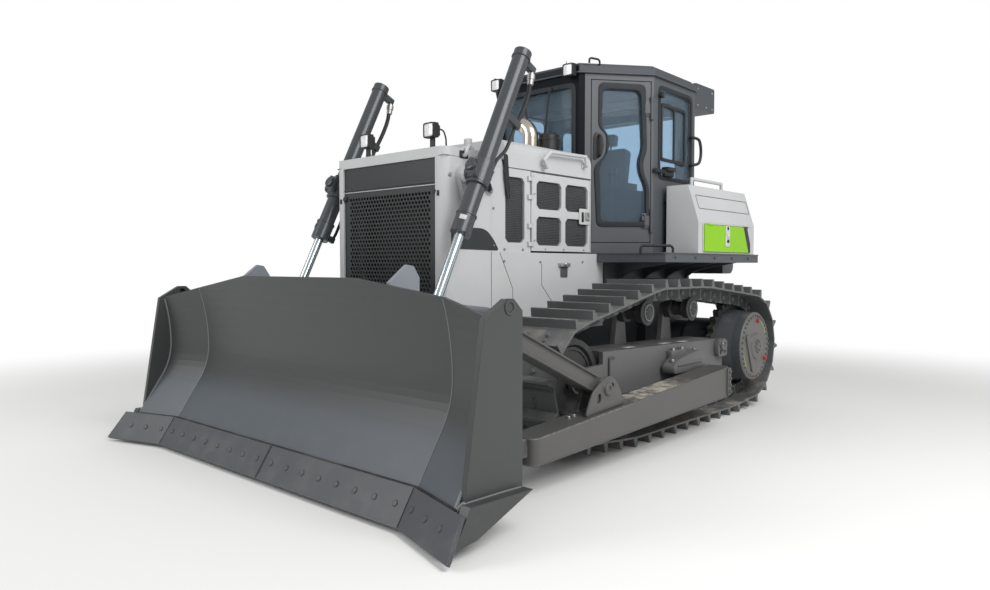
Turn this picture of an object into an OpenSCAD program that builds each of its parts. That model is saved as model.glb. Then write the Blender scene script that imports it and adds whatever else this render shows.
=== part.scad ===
// Tracked bulldozer with a semi-U blade, at real size in millimetres.
// +X is forward, +Y is the machine's left, +Z is up and the ground is Z = 0.
// Lengths along X are measured from the sprocket axle; place() moves the origin to the middle of the machine.

/* [Draw] */

/* [Tracks] */
track_gauge = 2050;
shoe_width = 560;
shoe_pitch = 203.2;
shoe_thick = 15;
shoe_gap = 4;
grouser_height = 65;
grouser_thick = 20;
pin_to_shoe = 45;
link_depth = 55;
link_width = 42;
link_spread = 170;
sprocket_teeth = 27;
sprocket_z = 600;
sprocket_thick = 64;
idler_x = 2780;
idler_z = 555;
idler_path_r = 375;
bend_rear_x = 420;
bend_front_x = 2180;
roller_first_x = 530;
roller_last_x = 2120;
roller_count = 7;
roller_r = 100;
roller_half = 135;
carrier_xs = [1010, 1770];
carrier_z = 1000;
carrier_r = 90;
carrier_tread_r = 85;
roller_flange = 16;
carrier_half = 115;

/* [Track frames] */
frame_rear_x = 490;
frame_front_x = 2480;
frame_bottom_z = 402;
frame_top_rear_z = 705;
frame_top_front_z = 745;
frame_half = 172;
guard_plate = 25;
arm_pin_x = 1200;
arm_pin_z = 410;
arm_pin_r = 55;

/* [Chassis] */
rail_inner_y = 250;
rail_wide = 120;
rail_bottom_z = 560;
rail_top_z = 860;
rail_front_x = 3300;
case_half = 470;
case_bottom_z = 410;
case_top_z = 1180;
final_drive_r = 330;
final_drive_face_y = 1335;
drawbar_reach = 670;
drawbar_pin_r = 27;
drawbar_pin_back = 130;

/* [Blade] */
blade_half = 1370;
blade_wing_angle = 17.3;
blade_wing_reach = 430;
blade_side_y = blade_half + blade_wing_reach;
blade_side_thick = 34;
blade_plate = 28;
blade_crown_half = 636;
blade_crown_z = 1309;
blade_joint_z = 1211;
blade_corner_z = 1122;
blade_foot_x = 4478;
blade_foot_z = 207;
blade_foot_angle = 57;
blade_foot_flat = 342;
blade_low_r = 494;
blade_high_r = 1364;
edge_length = 225;
edge_thick = 26;
end_bit_reach = 104;
end_bit_y = blade_side_y + end_bit_reach;
eye_r = 24;

/* [Push arms] */
arm_inner_y = 1350;
arm_outer_y = 1550;
arm_rear_x = 1080;
arm_front_x = 3720;
arm_rear_low_z = 282;
arm_rear_high_z = 531;
arm_front_low_z = 198;
arm_front_high_z = 362;
brace_y = 1420;
brace_rear_x = 2900;
brace_rear_z = 560;
brace_front_x = 4070;
brace_front_z = 1080;
brace_wide = 100;
brace_deep = 116;
brace_eye_r = 58;
brace_pin_r = 34;

/* [Lift cylinders] */
lift_y = 790;
lift_pivot_x = 3360;
lift_pivot_z = 2012;
lift_lean = 26.2;
barrel_r = 62;
barrel_above = 1005;
barrel_below = 465;
rod_r = 33;
rod_inside = 463;
rod_reach = 1578;
rod_eye_r = 58;
rod_pin_r = 30;
pivot_pin_r = 40;
boss_r = 80;
boss_face_y = 690;
boss_low_z = 1765;
running_gap = 5;

/* [Hood] */
hood_rear_x = 1795;
hood_front_x = 3530;
hood_half = 610;
hood_plate = 28;
hood_seam_z = 2110;
hood_low_z = 2200;
hood_high_z = 2330;
hood_step_x = 2900;
hood_shoulder_r = 100;
guard_rear_x = 3060;
guard_corner_r = 60;
guard_lip = 14;
front_sheet_thick = 26;
grille_columns = 15;
grille_rows = 15;
grille_hole_r = 22;
sign_low_z = 1945;
sign_half = 515;
door_low_z = 1490;
door_front_x = 2598;
window_columns = [[1841, 2157], [2212, 2533]];
window_rows = [[1541, 1766], [1825, 2043]];
window_cut = 30;
front_window = [[2680, 2903], [1556, 2047]];
engine_hinge_out = 13;
side_panel_y = 618;
side_panel_rear_x = 1618;

/* [Cab] */
cab_front_x = 1780;
cab_front_half = 470;
cab_belt_x = 1250;
cab_belt_half = 895;
cab_rear_x = 450;
cab_rear_half = 875;
cab_wall = 60;
cab_top_z = 3040;
roof_top_z = 3130;
roof_overhang = 18;
cab_lamp_y = 415;
door_bottom_z = 1580;
door_top_z = 2990;
post_front = 108;
post_rear = 24;
door_window_line = [[200, 2935], [190, 2590], [262, 2515], [258, 2360], [170, 2245], [182, 1745],
    [612, 1745], [612, 2085], [562, 2200], [556, 2300], [590, 2400], [578, 2935]];
door_gap = 6;
door_hinge_out = 17;
glass_thick = 8;
seat_gap = 0.3;

/* [Fenders] */
deck_rear_x = -177;
deck_front_x = 1720;
deck_half = 1250;
deck_low_z = 1410;
deck_top_z = 1490;
box_rear_x = -70;
box_front_x = 1095;
box_inner_y = 940;
box_top_y = 1150;
box_crease_z = 1767;
box_top_z = 2090;
tank_rear_x = -430;
tank_top_z = 2060;

/* [Hidden] */
$fn = 48;
panel_grey = [0.66, 0.66, 0.64];
charcoal = [0.20, 0.21, 0.22];
steel_dark = [0.13, 0.13, 0.14];
chrome_tone = [0.80, 0.82, 0.84];
lime = [0.45, 0.72, 0.10];
black_tone = [0.05, 0.05, 0.05];
glass_tone = [0.35, 0.45, 0.50];

// Derived places
track_y = track_gauge / 2;
shoe_outer = pin_to_shoe + shoe_thick;
grouser_tip = shoe_outer + grouser_height;
sprocket_path_r = shoe_pitch / (2 * sin(360 / sprocket_teeth));
roller_z = grouser_tip + link_depth + roller_r;
blade_tip_x = blade_foot_x + edge_length * cos(blade_foot_angle)
    + (end_bit_y - blade_half) * tan(blade_wing_angle) + edge_thick * sin(blade_foot_angle);
x_mid = (blade_tip_x - drawbar_reach) / 2;

// Helpers

module place() {
    translate([-x_mid, 0, 0]) children();
}

module both() {
    children();
    mirror([0, 1, 0]) children();
}

// An outline in X and Z, run along Y from y0 to y1.
module side(y0, y1, pts) {
    translate([0, y1, 0]) rotate([90, 0, 0]) linear_extrude(y1 - y0) polygon(pts);
}

// An outline in Y and Z, run along X from x0 to x1.
module across(x0, x1, pts) {
    translate([x0, 0, 0]) rotate([90, 0, 90]) linear_extrude(x1 - x0) polygon(pts);
}

module box(x0, x1, y0, y1, z0, z1) {
    translate([x0, y0, z0]) cube([x1 - x0, y1 - y0, z1 - z0]);
}

module rod_y(x, z, r, y0, y1) {
    translate([x, y0, z]) rotate([-90, 0, 0]) cylinder(h = y1 - y0, r = r);
}

module rod_z(x, y, r, z0, z1) {
    translate([x, y, z0]) cylinder(h = z1 - z0, r = r);
}

// A round bar from point a to point b.
module bar(a, b, r) {
    d = b - a;
    translate(a) rotate([0, acos(d[2] / norm(d)), atan2(d[1], d[0])]) cylinder(h = norm(d), r = r);
}

// A bent round bar through the points, with ball corners.
module bent_bar(pts, r) {
    for (i = [0 : len(pts) - 2]) bar(pts[i], pts[i + 1], r);
    for (i = [1 : len(pts) - 2]) translate(pts[i]) sphere(1.05 * r);
}

function arc(cx, cz, r, a0, a1, n = 6) = [for (i = [0 : n]) let (a = a0 + (a1 - a0) * i / n) [cx + r * cos(a), cz + r * sin(a)]];

function rounded(x0, x1, z0, z1, r) = concat(
    arc(x1 - r, z0 + r, r, -90, 0, 4), arc(x1 - r, z1 - r, r, 0, 90, 4),
    arc(x0 + r, z1 - r, r, 90, 180, 4), arc(x0 + r, z0 + r, r, 180, 270, 4));

function mirrored(pts) = concat(pts, [for (i = [len(pts) - 1 : -1 : 0]) [pts[i][0], -pts[i][1]]]);

function reversed(pts) = [for (i = [len(pts) - 1 : -1 : 0]) pts[i]];

function unit(v) = v / norm(v);

// An outline with its corners rounded off, by up to r along each side.
function softened(pts, r) = let (n = len(pts)) [for (i = [0 : n - 1])
    let (p = pts[i], a = pts[(i + n - 1) % n] - p, b = pts[(i + 1) % n] - p,
         t = min(r, 0.45 * norm(a), 0.45 * norm(b)), q0 = p + unit(a) * t, q1 = p + unit(b) * t)
    for (k = [0 : 3]) let (u = k / 3) q0 * (1 - u) * (1 - u) + p * 2 * u * (1 - u) + q1 * u * u];

// A convex outline, listed anticlockwise, moved inwards by t.
function inset(pts, t) = let (n = len(pts)) [for (i = [0 : n - 1])
    let (a = unit(pts[i] - pts[(i + n - 1) % n]), b = unit(pts[(i + 1) % n] - pts[i]),
         na = [-a[1], a[0]], nb = [-b[1], b[0]])
    pts[i] + (na + nb) * t / (1 + na * nb)];

// Track loop: a belt around the rollers, idler, carriers and sprocket, cut into equal links

belt = [
    [bend_rear_x, roller_z, roller_r + link_depth],
    [bend_front_x, roller_z, roller_r + link_depth],
    [idler_x, idler_z, idler_path_r],
    [carrier_xs[1], carrier_z, carrier_r + link_depth],
    [carrier_xs[0], carrier_z, carrier_r + link_depth],
    [0, sprocket_z, sprocket_path_r]
];
belt_n = len(belt);
function belt_normal(i) = let (a = belt[i % belt_n], b = belt[(i + 1) % belt_n], d = [b[0] - a[0], b[1] - a[1]])
    atan2(d[1], d[0]) - acos((a[2] - b[2]) / norm(d));
function belt_at(i, angle) = let (c = belt[i % belt_n]) [c[0], c[1]] + c[2] * [cos(angle), sin(angle)];
function belt_line(i) = norm(belt_at(i + 1, belt_normal(i)) - belt_at(i, belt_normal(i)));
function belt_sweep(i) = let (s = belt_normal(i) - belt_normal(i + belt_n - 1)) s - 360 * floor(s / 360);
function belt_arc(i) = belt[i % belt_n][2] * belt_sweep(i % belt_n) * PI / 180;
belt_length = [for (i = [0 : belt_n - 1]) belt_line(i) + belt_arc(i + 1)] * [for (i = [0 : belt_n - 1]) 1];
shoe_count = round(belt_length / shoe_pitch);
function belt_point(s, i = 0) =
    let (line = belt_line(i), turn = belt_arc(i + 1), n = belt_normal(i))
    s <= line ? let (a = belt_at(i, n)) a + unit(belt_at(i + 1, n) - a) * s
    : s <= line + turn || i == belt_n - 1 ? belt_at(i + 1, n + (s - line) / belt[(i + 1) % belt_n][2] * 180 / PI)
    : belt_point(s - line - turn, i + 1);
pins = [for (k = [0 : shoe_count - 1]) belt_point((k + 0.5) * belt_length / shoe_count)];
function link_dir(k) = unit(pins[(k + 1) % shoe_count] - pins[k % shoe_count]);
function link_len(k) = norm(pins[(k + 1) % shoe_count] - pins[k % shoe_count]);
function outward(d) = [d[1], -d[0]];
// A point u along link k from its first pin and v outside its pin line.
function on_link(k, u, v) = pins[k % shoe_count] + link_dir(k) * u + outward(link_dir(k)) * v;
function at_pin(k, v) = pins[k % shoe_count] + unit(outward(link_dir(k)) + outward(link_dir(k + shoe_count - 1))) * v;

module loop(outer, inner, y0, y1) {
    difference() {
        side(y0, y1, outer);
        side(y0 - 1, y1 + 1, inner);
    }
}

module track() {
    shoes = [for (k = [0 : shoe_count - 1]) let (n = link_len(k)) each [
        on_link(k, shoe_gap, shoe_outer), on_link(k, shoe_gap + 6, grouser_tip),
        on_link(k, shoe_gap + 6 + grouser_thick, grouser_tip), on_link(k, shoe_gap + 55, shoe_outer),
        on_link(k, n - shoe_gap, shoe_outer), at_pin(k + 1, shoe_outer - 9)]];
    seats = [for (k = [0 : shoe_count - 1]) at_pin(k, pin_to_shoe)];
    rails = [for (k = [0 : shoe_count - 1]) let (n = link_len(k)) each [
        on_link(k, 24, -link_depth), on_link(k, n - 24, -link_depth), at_pin(k + 1, 12 - link_depth / 2)]];
    tops = [for (k = [0 : shoe_count - 1]) at_pin(k, pin_to_shoe + 6)];
    union() {
        loop(shoes, seats, track_y - shoe_width / 2, track_y + shoe_width / 2);
        for (s = [-1, 1]) let (y = track_y + s * link_spread / 2)
            loop(tops, rails, y - link_width / 2, y + link_width / 2);
    }
}

module track_left() {
    color(steel_dark) place() track();
}

module track_right() {
    color(steel_dark) place() mirror([0, 1, 0]) track();
}

// Running gear

module sprocket() {
    root = sprocket_path_r - 48;
    tip = sprocket_path_r - 8;
    step = 360 / sprocket_teeth;
    teeth = [for (k = [0 : sprocket_teeth - 1]) for (p = [[-0.36, root], [-0.14, tip], [0.14, tip], [0.36, root]])
        let (a = (k + p[0]) * step) [p[1] * cos(a), sprocket_z + p[1] * sin(a)]];
    difference() {
        side(track_y - sprocket_thick / 2, track_y + sprocket_thick / 2, teeth);
        rod_y(0, sprocket_z, 100 + seat_gap, track_y - sprocket_thick, track_y + sprocket_thick);
    }
}

module sprockets() {
    color(steel_dark) place() both() sprocket();
}

// A wheel turned about Y from an outline of radius against width.
module turned(x, z, pts) {
    translate([x, track_y, z]) rotate([-90, 0, 0]) rotate_extrude() polygon(pts);
}

idler_r = sqrt(idler_path_r * idler_path_r - shoe_pitch * shoe_pitch / 4) - link_depth - 1;
rail_in = link_spread / 2 - link_width / 2 - 6;

module idlers() {
    color(steel_dark) place() both() turned(idler_x, idler_z, [
        [0, -roller_half], [70, -roller_half], [70, -105], [idler_r - 70, -60], [idler_r - 40, -118], [idler_r, -118],
        [idler_r, -rail_in], [idler_r + 20, -rail_in + 8], [idler_r + 20, rail_in - 8], [idler_r, rail_in],
        [idler_r, 118], [idler_r - 40, 118], [idler_r - 70, 60], [70, 105], [70, roller_half], [0, roller_half]]);
}

module track_rollers() {
    step = (roller_last_x - roller_first_x) / (roller_count - 1);
    tread = roller_r - seat_gap;
    rim = roller_r + roller_flange;
    color(steel_dark) place() both() for (k = [0 : roller_count - 1])
        turned(roller_first_x + k * step, roller_z, [
            [0, -roller_half], [45, -roller_half], [45, -130], [rim, -126], [rim, -116],
            [tread, -110], [tread, -rail_in], [tread - 25, -rail_in + 8], [tread - 25, rail_in - 8],
            [tread, rail_in], [tread, 110], [rim, 116], [rim, 126], [45, 130],
            [45, roller_half], [0, roller_half]]);
}

module carrier_rollers() {
    tread = carrier_tread_r;
    rim = carrier_r + 14;
    color(steel_dark) place() both() for (x = carrier_xs)
        turned(x, carrier_z, [
            [0, -carrier_half], [tread, -carrier_half], [tread, -rail_in], [tread - 24, -rail_in + 8],
            [tread - 24, rail_in - 8], [tread, rail_in], [tread, 112],
            [rim, 118], [rim, 132], [tread - 12, 136], [tread - 16, 128], [50, 128], [46, 134], [0, 134]]);
}

module track_frame() {
    inner = track_y - frame_half;
    outer = track_y + frame_half;
    difference() {
        union() {
            side(inner, outer, [[frame_rear_x, frame_bottom_z], [frame_front_x, frame_bottom_z],
                [frame_front_x, frame_top_front_z], [frame_rear_x + 60, frame_top_rear_z], [frame_rear_x, frame_top_rear_z - 60]]);
            // roller guards
            for (y = [track_y - roller_half - guard_plate, track_y + roller_half])
                side(y, y + guard_plate, [[roller_first_x - 90, roller_z + 10], [roller_first_x - 40, roller_z - 70],
                    [roller_last_x + 40, roller_z - 70], [roller_last_x + 110, roller_z + 10],
                    [roller_last_x + 110, frame_bottom_z + 1], [roller_first_x - 90, frame_bottom_z + 1]]);
            // idler yoke
            for (y = [track_y - roller_half - 36, track_y + roller_half])
                side(y, y + 36, concat([[frame_front_x - 60, idler_z - 90]], arc(idler_x, idler_z, 85, -90, 90),
                    [[frame_front_x - 60, idler_z + 100]]));
            // carrier brackets
            for (x = carrier_xs) {
                side(inner, track_y - carrier_half - 12, concat([[x - 95, frame_bottom_z + 300], [x + 95, frame_bottom_z + 300]],
                    arc(x, carrier_z, 52, 0, 180)));
                rod_y(x, carrier_z, 34, inner + 5, track_y - carrier_half);
            }
            // push arm trunnion
            side(outer - 1, arm_inner_y - 30, [[arm_pin_x - 130, frame_bottom_z], [arm_pin_x + 260, frame_bottom_z],
                [arm_pin_x + 230, 590], [arm_pin_x + 60, 600], [arm_pin_x - 130, 520]]);
            rod_y(arm_pin_x, arm_pin_z, arm_pin_r + 30, arm_inner_y - 40, arm_inner_y - 8);
            rod_y(arm_pin_x, arm_pin_z, arm_pin_r, arm_inner_y - 40, arm_outer_y - 20);
        }
        box(frame_front_x - 42, frame_front_x + 1, track_y - roller_half, track_y + roller_half, frame_bottom_z - 1, frame_top_front_z + 1);
        for (k = [0 : 2 : roller_count - 1]) let (x = roller_first_x + k * (roller_last_x - roller_first_x) / (roller_count - 1))
            for (y = [track_y - roller_half - guard_plate, track_y + roller_half])
                side(y - 5, y + guard_plate + 5, rounded(x + 60, x + 200, roller_z - 20, roller_z + 70, 30));
    }
}

module track_frames() {
    color(charcoal) place() both() track_frame();
}

module final_drives() {
    inner_face = track_y - sprocket_thick / 2;
    outer_face = track_y + sprocket_thick / 2;
    color(charcoal) place() both() translate([0, 0, sprocket_z]) rotate([-90, 0, 0]) rotate_extrude() polygon([
        [0, case_half + 150], [230, case_half + 150], [250, case_half + 190], [250, inner_face - 40], [230, inner_face],
        [100, inner_face], [100, outer_face], [final_drive_r + 25, outer_face], [final_drive_r, outer_face + 150],
        [final_drive_r, final_drive_face_y - 40], [final_drive_r - 12, final_drive_face_y - 28],
        [130, final_drive_face_y - 28], [120, final_drive_face_y - 8], [80, final_drive_face_y], [0, final_drive_face_y]]);
}

// Chassis

module main_frame() {
    color(charcoal) place() union() {
        // transmission and steering case
        side(-case_half, case_half, [[-430, 640], [-330, case_bottom_z], [640, case_bottom_z], [640, case_top_z],
            [560, case_top_z], [560, deck_low_z], [-150, deck_low_z], [-150, case_top_z], [-330, case_top_z], [-430, 1040]]);
        both() {
            box(600, rail_front_x, rail_inner_y, rail_inner_y + rail_wide, rail_bottom_z, rail_top_z);
            rod_y(0, sprocket_z, 215, case_half - 10, case_half + 150);
            rod_y(frame_rear_x + 110, 545, 90, case_half - 10, track_y - frame_half);
            // deck legs at the side of the hull
            box(700, 1650, rail_inner_y + 60, rail_inner_y + rail_wide, rail_top_z - 5, deck_low_z);
        }
        for (x = [1300, 2000, 2720]) box(x, x + 90, -rail_inner_y - 5, rail_inner_y + 5, rail_bottom_z + 120, rail_top_z);
        box(3080, 3470, -rail_inner_y - rail_wide, rail_inner_y + rail_wide, rail_bottom_z, rail_top_z);
    }
}

module belly_guard() {
    color(charcoal) place() side(-rail_inner_y - rail_wide, rail_inner_y + rail_wide, [
        [-300, case_bottom_z - 20], [2900, case_bottom_z - 20], [3470, rail_bottom_z - 20], [3470, rail_bottom_z],
        [3080, rail_bottom_z], [2880, case_bottom_z], [-300, case_bottom_z]]);
}

module equalizer_bar() {
    reach = track_y - frame_half;
    color(charcoal) place() across(2270, 2400, mirrored([[case_bottom_z, 120], [case_bottom_z, 420],
        [case_bottom_z + 60, reach], [rail_bottom_z, reach]]) * [[0, 1], [1, 0]]);
}

module drawbar() {
    color(charcoal) place() difference() {
        side(-130, 130, [[-430, 640], [-387.5, 540], [-drawbar_reach + 90, 540], [-drawbar_reach, 590],
            [-drawbar_reach, 730], [-drawbar_reach + 90, 780], [-430, 780]]);
        box(-drawbar_reach - 1, -drawbar_reach + 170, -131, 131, 612, 708);
        rod_z(-drawbar_reach + drawbar_pin_back, 0, drawbar_pin_r, 500, 820);
    }
}

module engine() {
    color(steel_dark) place() box(1950, 2860, -310, 310, rail_top_z, 1800);
}

module radiator() {
    color(black_tone) place() box(3150, 3300, -sign_half, sign_half, rail_top_z, 2090);
}

// Hood and radiator guard

module radiator_guard() {
    color(panel_grey) place() difference() {
        union() {
            translate([0, 0, rail_top_z]) linear_extrude(hood_low_z - rail_top_z) polygon(concat(
                [[guard_rear_x, -hood_half]], arc(hood_front_x - guard_corner_r, -hood_half + guard_corner_r, guard_corner_r, -90, 0),
                arc(hood_front_x - guard_corner_r, hood_half - guard_corner_r, guard_corner_r, 0, 90), [[guard_rear_x, hood_half]]));
            both() {
                // pads that carry the lift cylinders
                side(hood_half - 10, hood_half + 40, concat(arc(lift_pivot_x - 12, lift_pivot_z, boss_r, -12, 192, 12),
                    [[lift_pivot_x - 60, boss_low_z], [lift_pivot_x - 15, boss_low_z]]));
                rod_y(lift_pivot_x, lift_pivot_z, boss_r - 14, hood_half + 39, boss_face_y);
                rod_y(lift_pivot_x, lift_pivot_z, pivot_pin_r, boss_face_y - 1, lift_y - barrel_r + 8);
            }
        }
        box(guard_rear_x - 1, hood_front_x - guard_lip, -hood_half + 40, hood_half - 40, rail_top_z - 1, hood_low_z - 45);
        box(guard_rear_x, hood_front_x + 1, -sign_half, sign_half, rail_top_z + 60, 2128);
    }
}

module front_sheet(z0, z1) {
    box(hood_front_x - guard_lip - front_sheet_thick, hood_front_x - guard_lip, -hood_half + 42, hood_half - 42, z0, z1);
}

module sign_panel() {
    color(black_tone) place() front_sheet(sign_low_z, hood_low_z - 47);
}

module grille() {
    wide = 2 * (sign_half - 45) / grille_columns;
    high = (sign_low_z - rail_top_z - 120) / grille_rows;
    color(black_tone) place() difference() {
        front_sheet(rail_top_z + 4, sign_low_z - 4);
        for (i = [0 : grille_rows - 1]) for (j = [0 : grille_columns - 1 - i % 2])
            translate([hood_front_x - guard_lip - front_sheet_thick - 5,
                -sign_half + 45 + (j + 0.5 + 0.5 * (i % 2)) * wide, rail_top_z + 70 + (i + 0.5) * high])
                rotate([0, 90, 0]) cylinder(h = front_sheet_thick + 10, r = grille_hole_r, $fn = 6);
    }
}

// Half of the hood's section in Y and Z, up to its rounded shoulder.
function hood_half_line(top, inset) = let (r = hood_shoulder_r)
    concat([[hood_half - inset, hood_seam_z]], arc(hood_half - r, top - r, r - inset, 0, 90, 6));
function hood_section(top, inset) = let (half = hood_half_line(top, inset))
    concat(half, [for (p = reversed(half)) [-p[0], p[1]]]);

module hood_length(x0, x1, top) {
    across(x0, x1, concat(hood_section(top, 0), reversed(hood_section(top, hood_plate))));
}

module hood_top() {
    color(panel_grey) place() union() {
        hood_length(hood_rear_x, hood_step_x, hood_high_z);
        hood_length(hood_step_x - hood_plate, guard_rear_x, hood_low_z + 20);
        across(hood_step_x - hood_plate, hood_step_x, concat(hood_section(hood_high_z, 0), reversed(hood_section(hood_low_z + 20, hood_plate))));
    }
}

module cowl() {
    color(panel_grey) place() union() {
        box(hood_rear_x, hood_rear_x + 30, -hood_half + hood_plate + 4, hood_half - hood_plate - 4, rail_top_z, hood_seam_z);
        box(hood_rear_x, hood_rear_x + 8, -hood_half, hood_half, door_low_z, hood_seam_z);
    }
}

// Mesh windows of the engine cover, in X and Z.
// A window with cut corners through the side sheet.
module mesh_window(x, z) {
    c = window_cut;
    side(hood_half - 60, side_panel_y + 5, [[x[0] + c, z[0]], [x[1] - c, z[0]], [x[1], z[0] + c], [x[1], z[1] - c],
        [x[1] - c, z[1]], [x[0] + c, z[1]], [x[0], z[1] - c], [x[0], z[0] + c]]);
}

module side_panel() {
    difference() {
        union() {
            box(side_panel_rear_x, guard_rear_x, hood_half - 12, side_panel_y, rail_top_z, door_low_z - 8);
            box(door_front_x + 8, guard_rear_x, hood_half - hood_plate, hood_half, door_low_z - 9, hood_seam_z);
            box(2000, 2040, rail_inner_y + rail_wide, hood_half, rail_top_z, rail_top_z + 60);
            // fixed hinge knuckles above and below those of the engine door
            for (z = engine_hinge_zs) for (z0 = [z - 40, z + 100 + seat_gap]) {
                rod_z(door_front_x + 4, hood_half + engine_hinge_out, 9, z0, z0 + 40 - seat_gap);
                box(door_front_x + 10, door_front_x + 50, hood_half - 1, hood_half + engine_hinge_out + 2, z0 + 2, z0 + 36);
            }
        }
        mesh_window(front_window[0], front_window[1]);
    }
}
engine_hinge_zs = [door_low_z + 80, hood_seam_z - 180];

module side_panels() {
    color(panel_grey) place() both() side_panel();
}

module engine_door() {
    x0 = hood_rear_x + 14;
    x1 = door_front_x;
    hinge_y = hood_half + engine_hinge_out;
    difference() {
        box(x0, x1, hood_half - hood_plate, hood_half, door_low_z + 6, hood_seam_z - 8);
        for (x = window_columns) for (z = window_rows) mesh_window(x, z);
    }
    for (z = engine_hinge_zs) {
        rod_z(x1 + 4, hinge_y, 9, z, z + 100);
        box(x1 - 45, x1 + 4, hood_half - 1, hinge_y + 2, z + 10, z + 90);
    }
}

module engine_door_left() {
    color(panel_grey) place() engine_door();
}

module engine_door_right() {
    color(panel_grey) place() mirror([0, 1, 0]) engine_door();
}

module exhaust() {
    x = 2070;
    y = 170;
    r = 66;
    bend = 110;
    rise = 155;
    turn = 75;
    mouth = [x, y - bend + bend * cos(turn), hood_high_z + rise + bend * sin(turn)];
    way = [0, -sin(turn), cos(turn)];
    color(chrome_tone) place() difference() {
        union() {
            rod_z(x, y, r, hood_high_z, hood_high_z + rise);
            translate([x, y - bend, hood_high_z + rise]) rotate([90, 0, 90])
                rotate_extrude(angle = turn) translate([bend, 0]) circle(r);
        }
        bar(mouth - 30 * way, mouth + 20 * way, r - 6);
    }
}

module precleaner() {
    x = 1902;
    y = 239;
    color(black_tone) place() translate([x, y, hood_high_z]) rotate_extrude() polygon([
        [0, 0], [58, 0], [58, 40], [92, 48], [92, 150], [86, 158], [86, 182], [76, 196], [30, 206], [0, 206]]);
}

module lamp(x, y, z) {
    box(x - 22, x + 22, y - 52, y + 52, z - 52, z + 52);
    box(x - 40, x - 21, y - 40, y + 40, z - 40, z + 40);
}

module lamps() {
    color(black_tone) place() both() {
        lamp(3418, 362, 2342);
        box(3400, 3412, 340, 384, hood_low_z, 2291);
        lamp(cab_front_x + 62, cab_lamp_y, 3058);
        box(cab_front_x + roof_overhang, cab_front_x + 23, cab_lamp_y - 22, cab_lamp_y + 22, 3045, 3080);
    }
}

// Fenders, side boxes and fuel tank

module fender_deck() {
    slot_x = side_panel_rear_x - 10;
    color(charcoal) place() union() {
        translate([0, 0, deck_low_z]) linear_extrude(deck_top_z - deck_low_z) polygon(mirrored([
            [deck_front_x, hood_half - 22], [slot_x, hood_half - 22], [slot_x, side_panel_y + 10],
            [deck_front_x, side_panel_y + 10], [deck_front_x - 60, deck_half], [deck_rear_x, deck_half]]));
        both() {
            box(deck_rear_x + 250, slot_x, hood_half, hood_half + 25, 1200, deck_low_z + 1);
            for (x = [150, 560, 970, 1380])
                side_gusset(x);
        }
    }
}

// A curved bracket under the deck, from the hull out to its edge.
module side_gusset(x) {
    reach = deck_half - hood_half - 120;
    across(x, x + 16, concat([[hood_half + 20, deck_low_z + 1], [hood_half + 20, 1220]],
        arc(hood_half + 30 + reach, 1220, reach, 180, 105, 8) * [[1, 0], [0, 0.32]] + [for (i = [0 : 8]) [0, 1220 * 0.68]],
        [[deck_half - 60, deck_low_z + 1]]));
}

module side_box() {
    difference() {
        across(box_rear_x, box_front_x, [[box_inner_y, deck_top_z], [deck_half, deck_top_z], [deck_half, box_crease_z],
            [box_top_y, box_top_z], [box_inner_y, box_top_z]]);
        translate([box_rear_x, 0, box_crease_z]) rotate([0, -24, 0]) translate([-400, box_inner_y - 5, 0]) cube([400, 400, 600]);
        box(box_door_x0 + 40, box_door_x1 - 40, box_inner_y + 60, deck_half + 1, deck_top_z + 45, box_crease_z - 60);
    }
}
box_door_x0 = 40;
box_door_x1 = 1000;

module side_boxes() {
    color(panel_grey) place() both() side_box();
}

module box_door() {
    for (x = [box_door_x0 + 60, box_door_x1 - 160])
        translate([x, deck_half + 14, box_crease_z - 22]) rotate([0, 90, 0]) cylinder(h = 100, r = 8);
    box(box_door_x0, box_door_x1, deck_half + seat_gap, deck_half + 14, deck_top_z + 16, box_crease_z - 22);
}

module box_door_left() {
    color(lime) place() box_door();
}

module box_door_right() {
    color(lime) place() mirror([0, 1, 0]) box_door();
}

module fuel_tank() {
    color(charcoal) place() difference() {
        side(-box_inner_y + 60, box_inner_y - 60, concat(
            [[cab_rear_x - 30, deck_top_z], [cab_rear_x - 30, tank_top_z]],
            arc(tank_rear_x + 120, tank_top_z - 120, 120, 90, 180), arc(tank_rear_x + 80, 1300 + 80, 80, 180, 270),
            [[deck_rear_x - 2, 1300], [deck_rear_x - 2, deck_top_z]]));
    }
}

// Cab

cab_plan = [[cab_front_x, -cab_front_half], [cab_front_x, cab_front_half], [cab_belt_x, cab_belt_half],
    [cab_rear_x, cab_rear_half], [cab_rear_x, -cab_rear_half], [cab_belt_x, -cab_belt_half]];
cab_inner = inset(cab_plan, cab_wall);
face_dir = unit([cab_belt_x - cab_front_x, cab_belt_half - cab_front_half]);
face_out = [face_dir[1], -face_dir[0]];
face_len = norm([cab_belt_x - cab_front_x, cab_belt_half - cab_front_half]);
function face_point(s, out) = [cab_front_x, cab_front_half] + face_dir * s + face_out * out;

module prism(z0, z1, pts) {
    translate([0, 0, z0]) linear_extrude(z1 - z0) polygon(pts);
}

// Children drawn in the frame of a wall that runs from p to q, with X along the wall and Y inwards.
module on_wall(p, q) {
    translate([p[0], p[1], 0]) rotate([0, 0, atan2(q[1] - p[1], q[0] - p[0])]) children();
}

module windscreen_cut(gap, y0, y1) {
    on_wall(cab_plan[0], cab_plan[1]) side(y0, y1, rounded(70 + gap, 2 * cab_front_half - 70 - gap, 1760 + gap, 2930 - gap, 60));
}

module door_window(gap, y0, y1) {
    on_wall(cab_plan[1], cab_plan[2]) side(y0, y1, inset(softened(door_window_line, 60), gap));
}

module side_window(gap, y0, y1) {
    on_wall(cab_plan[2], cab_plan[3]) side(y0, y1, rounded(110 + gap, cab_belt_x - cab_rear_x - 90 - gap, 2180 + gap, 2950 - gap, 60));
}

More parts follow.
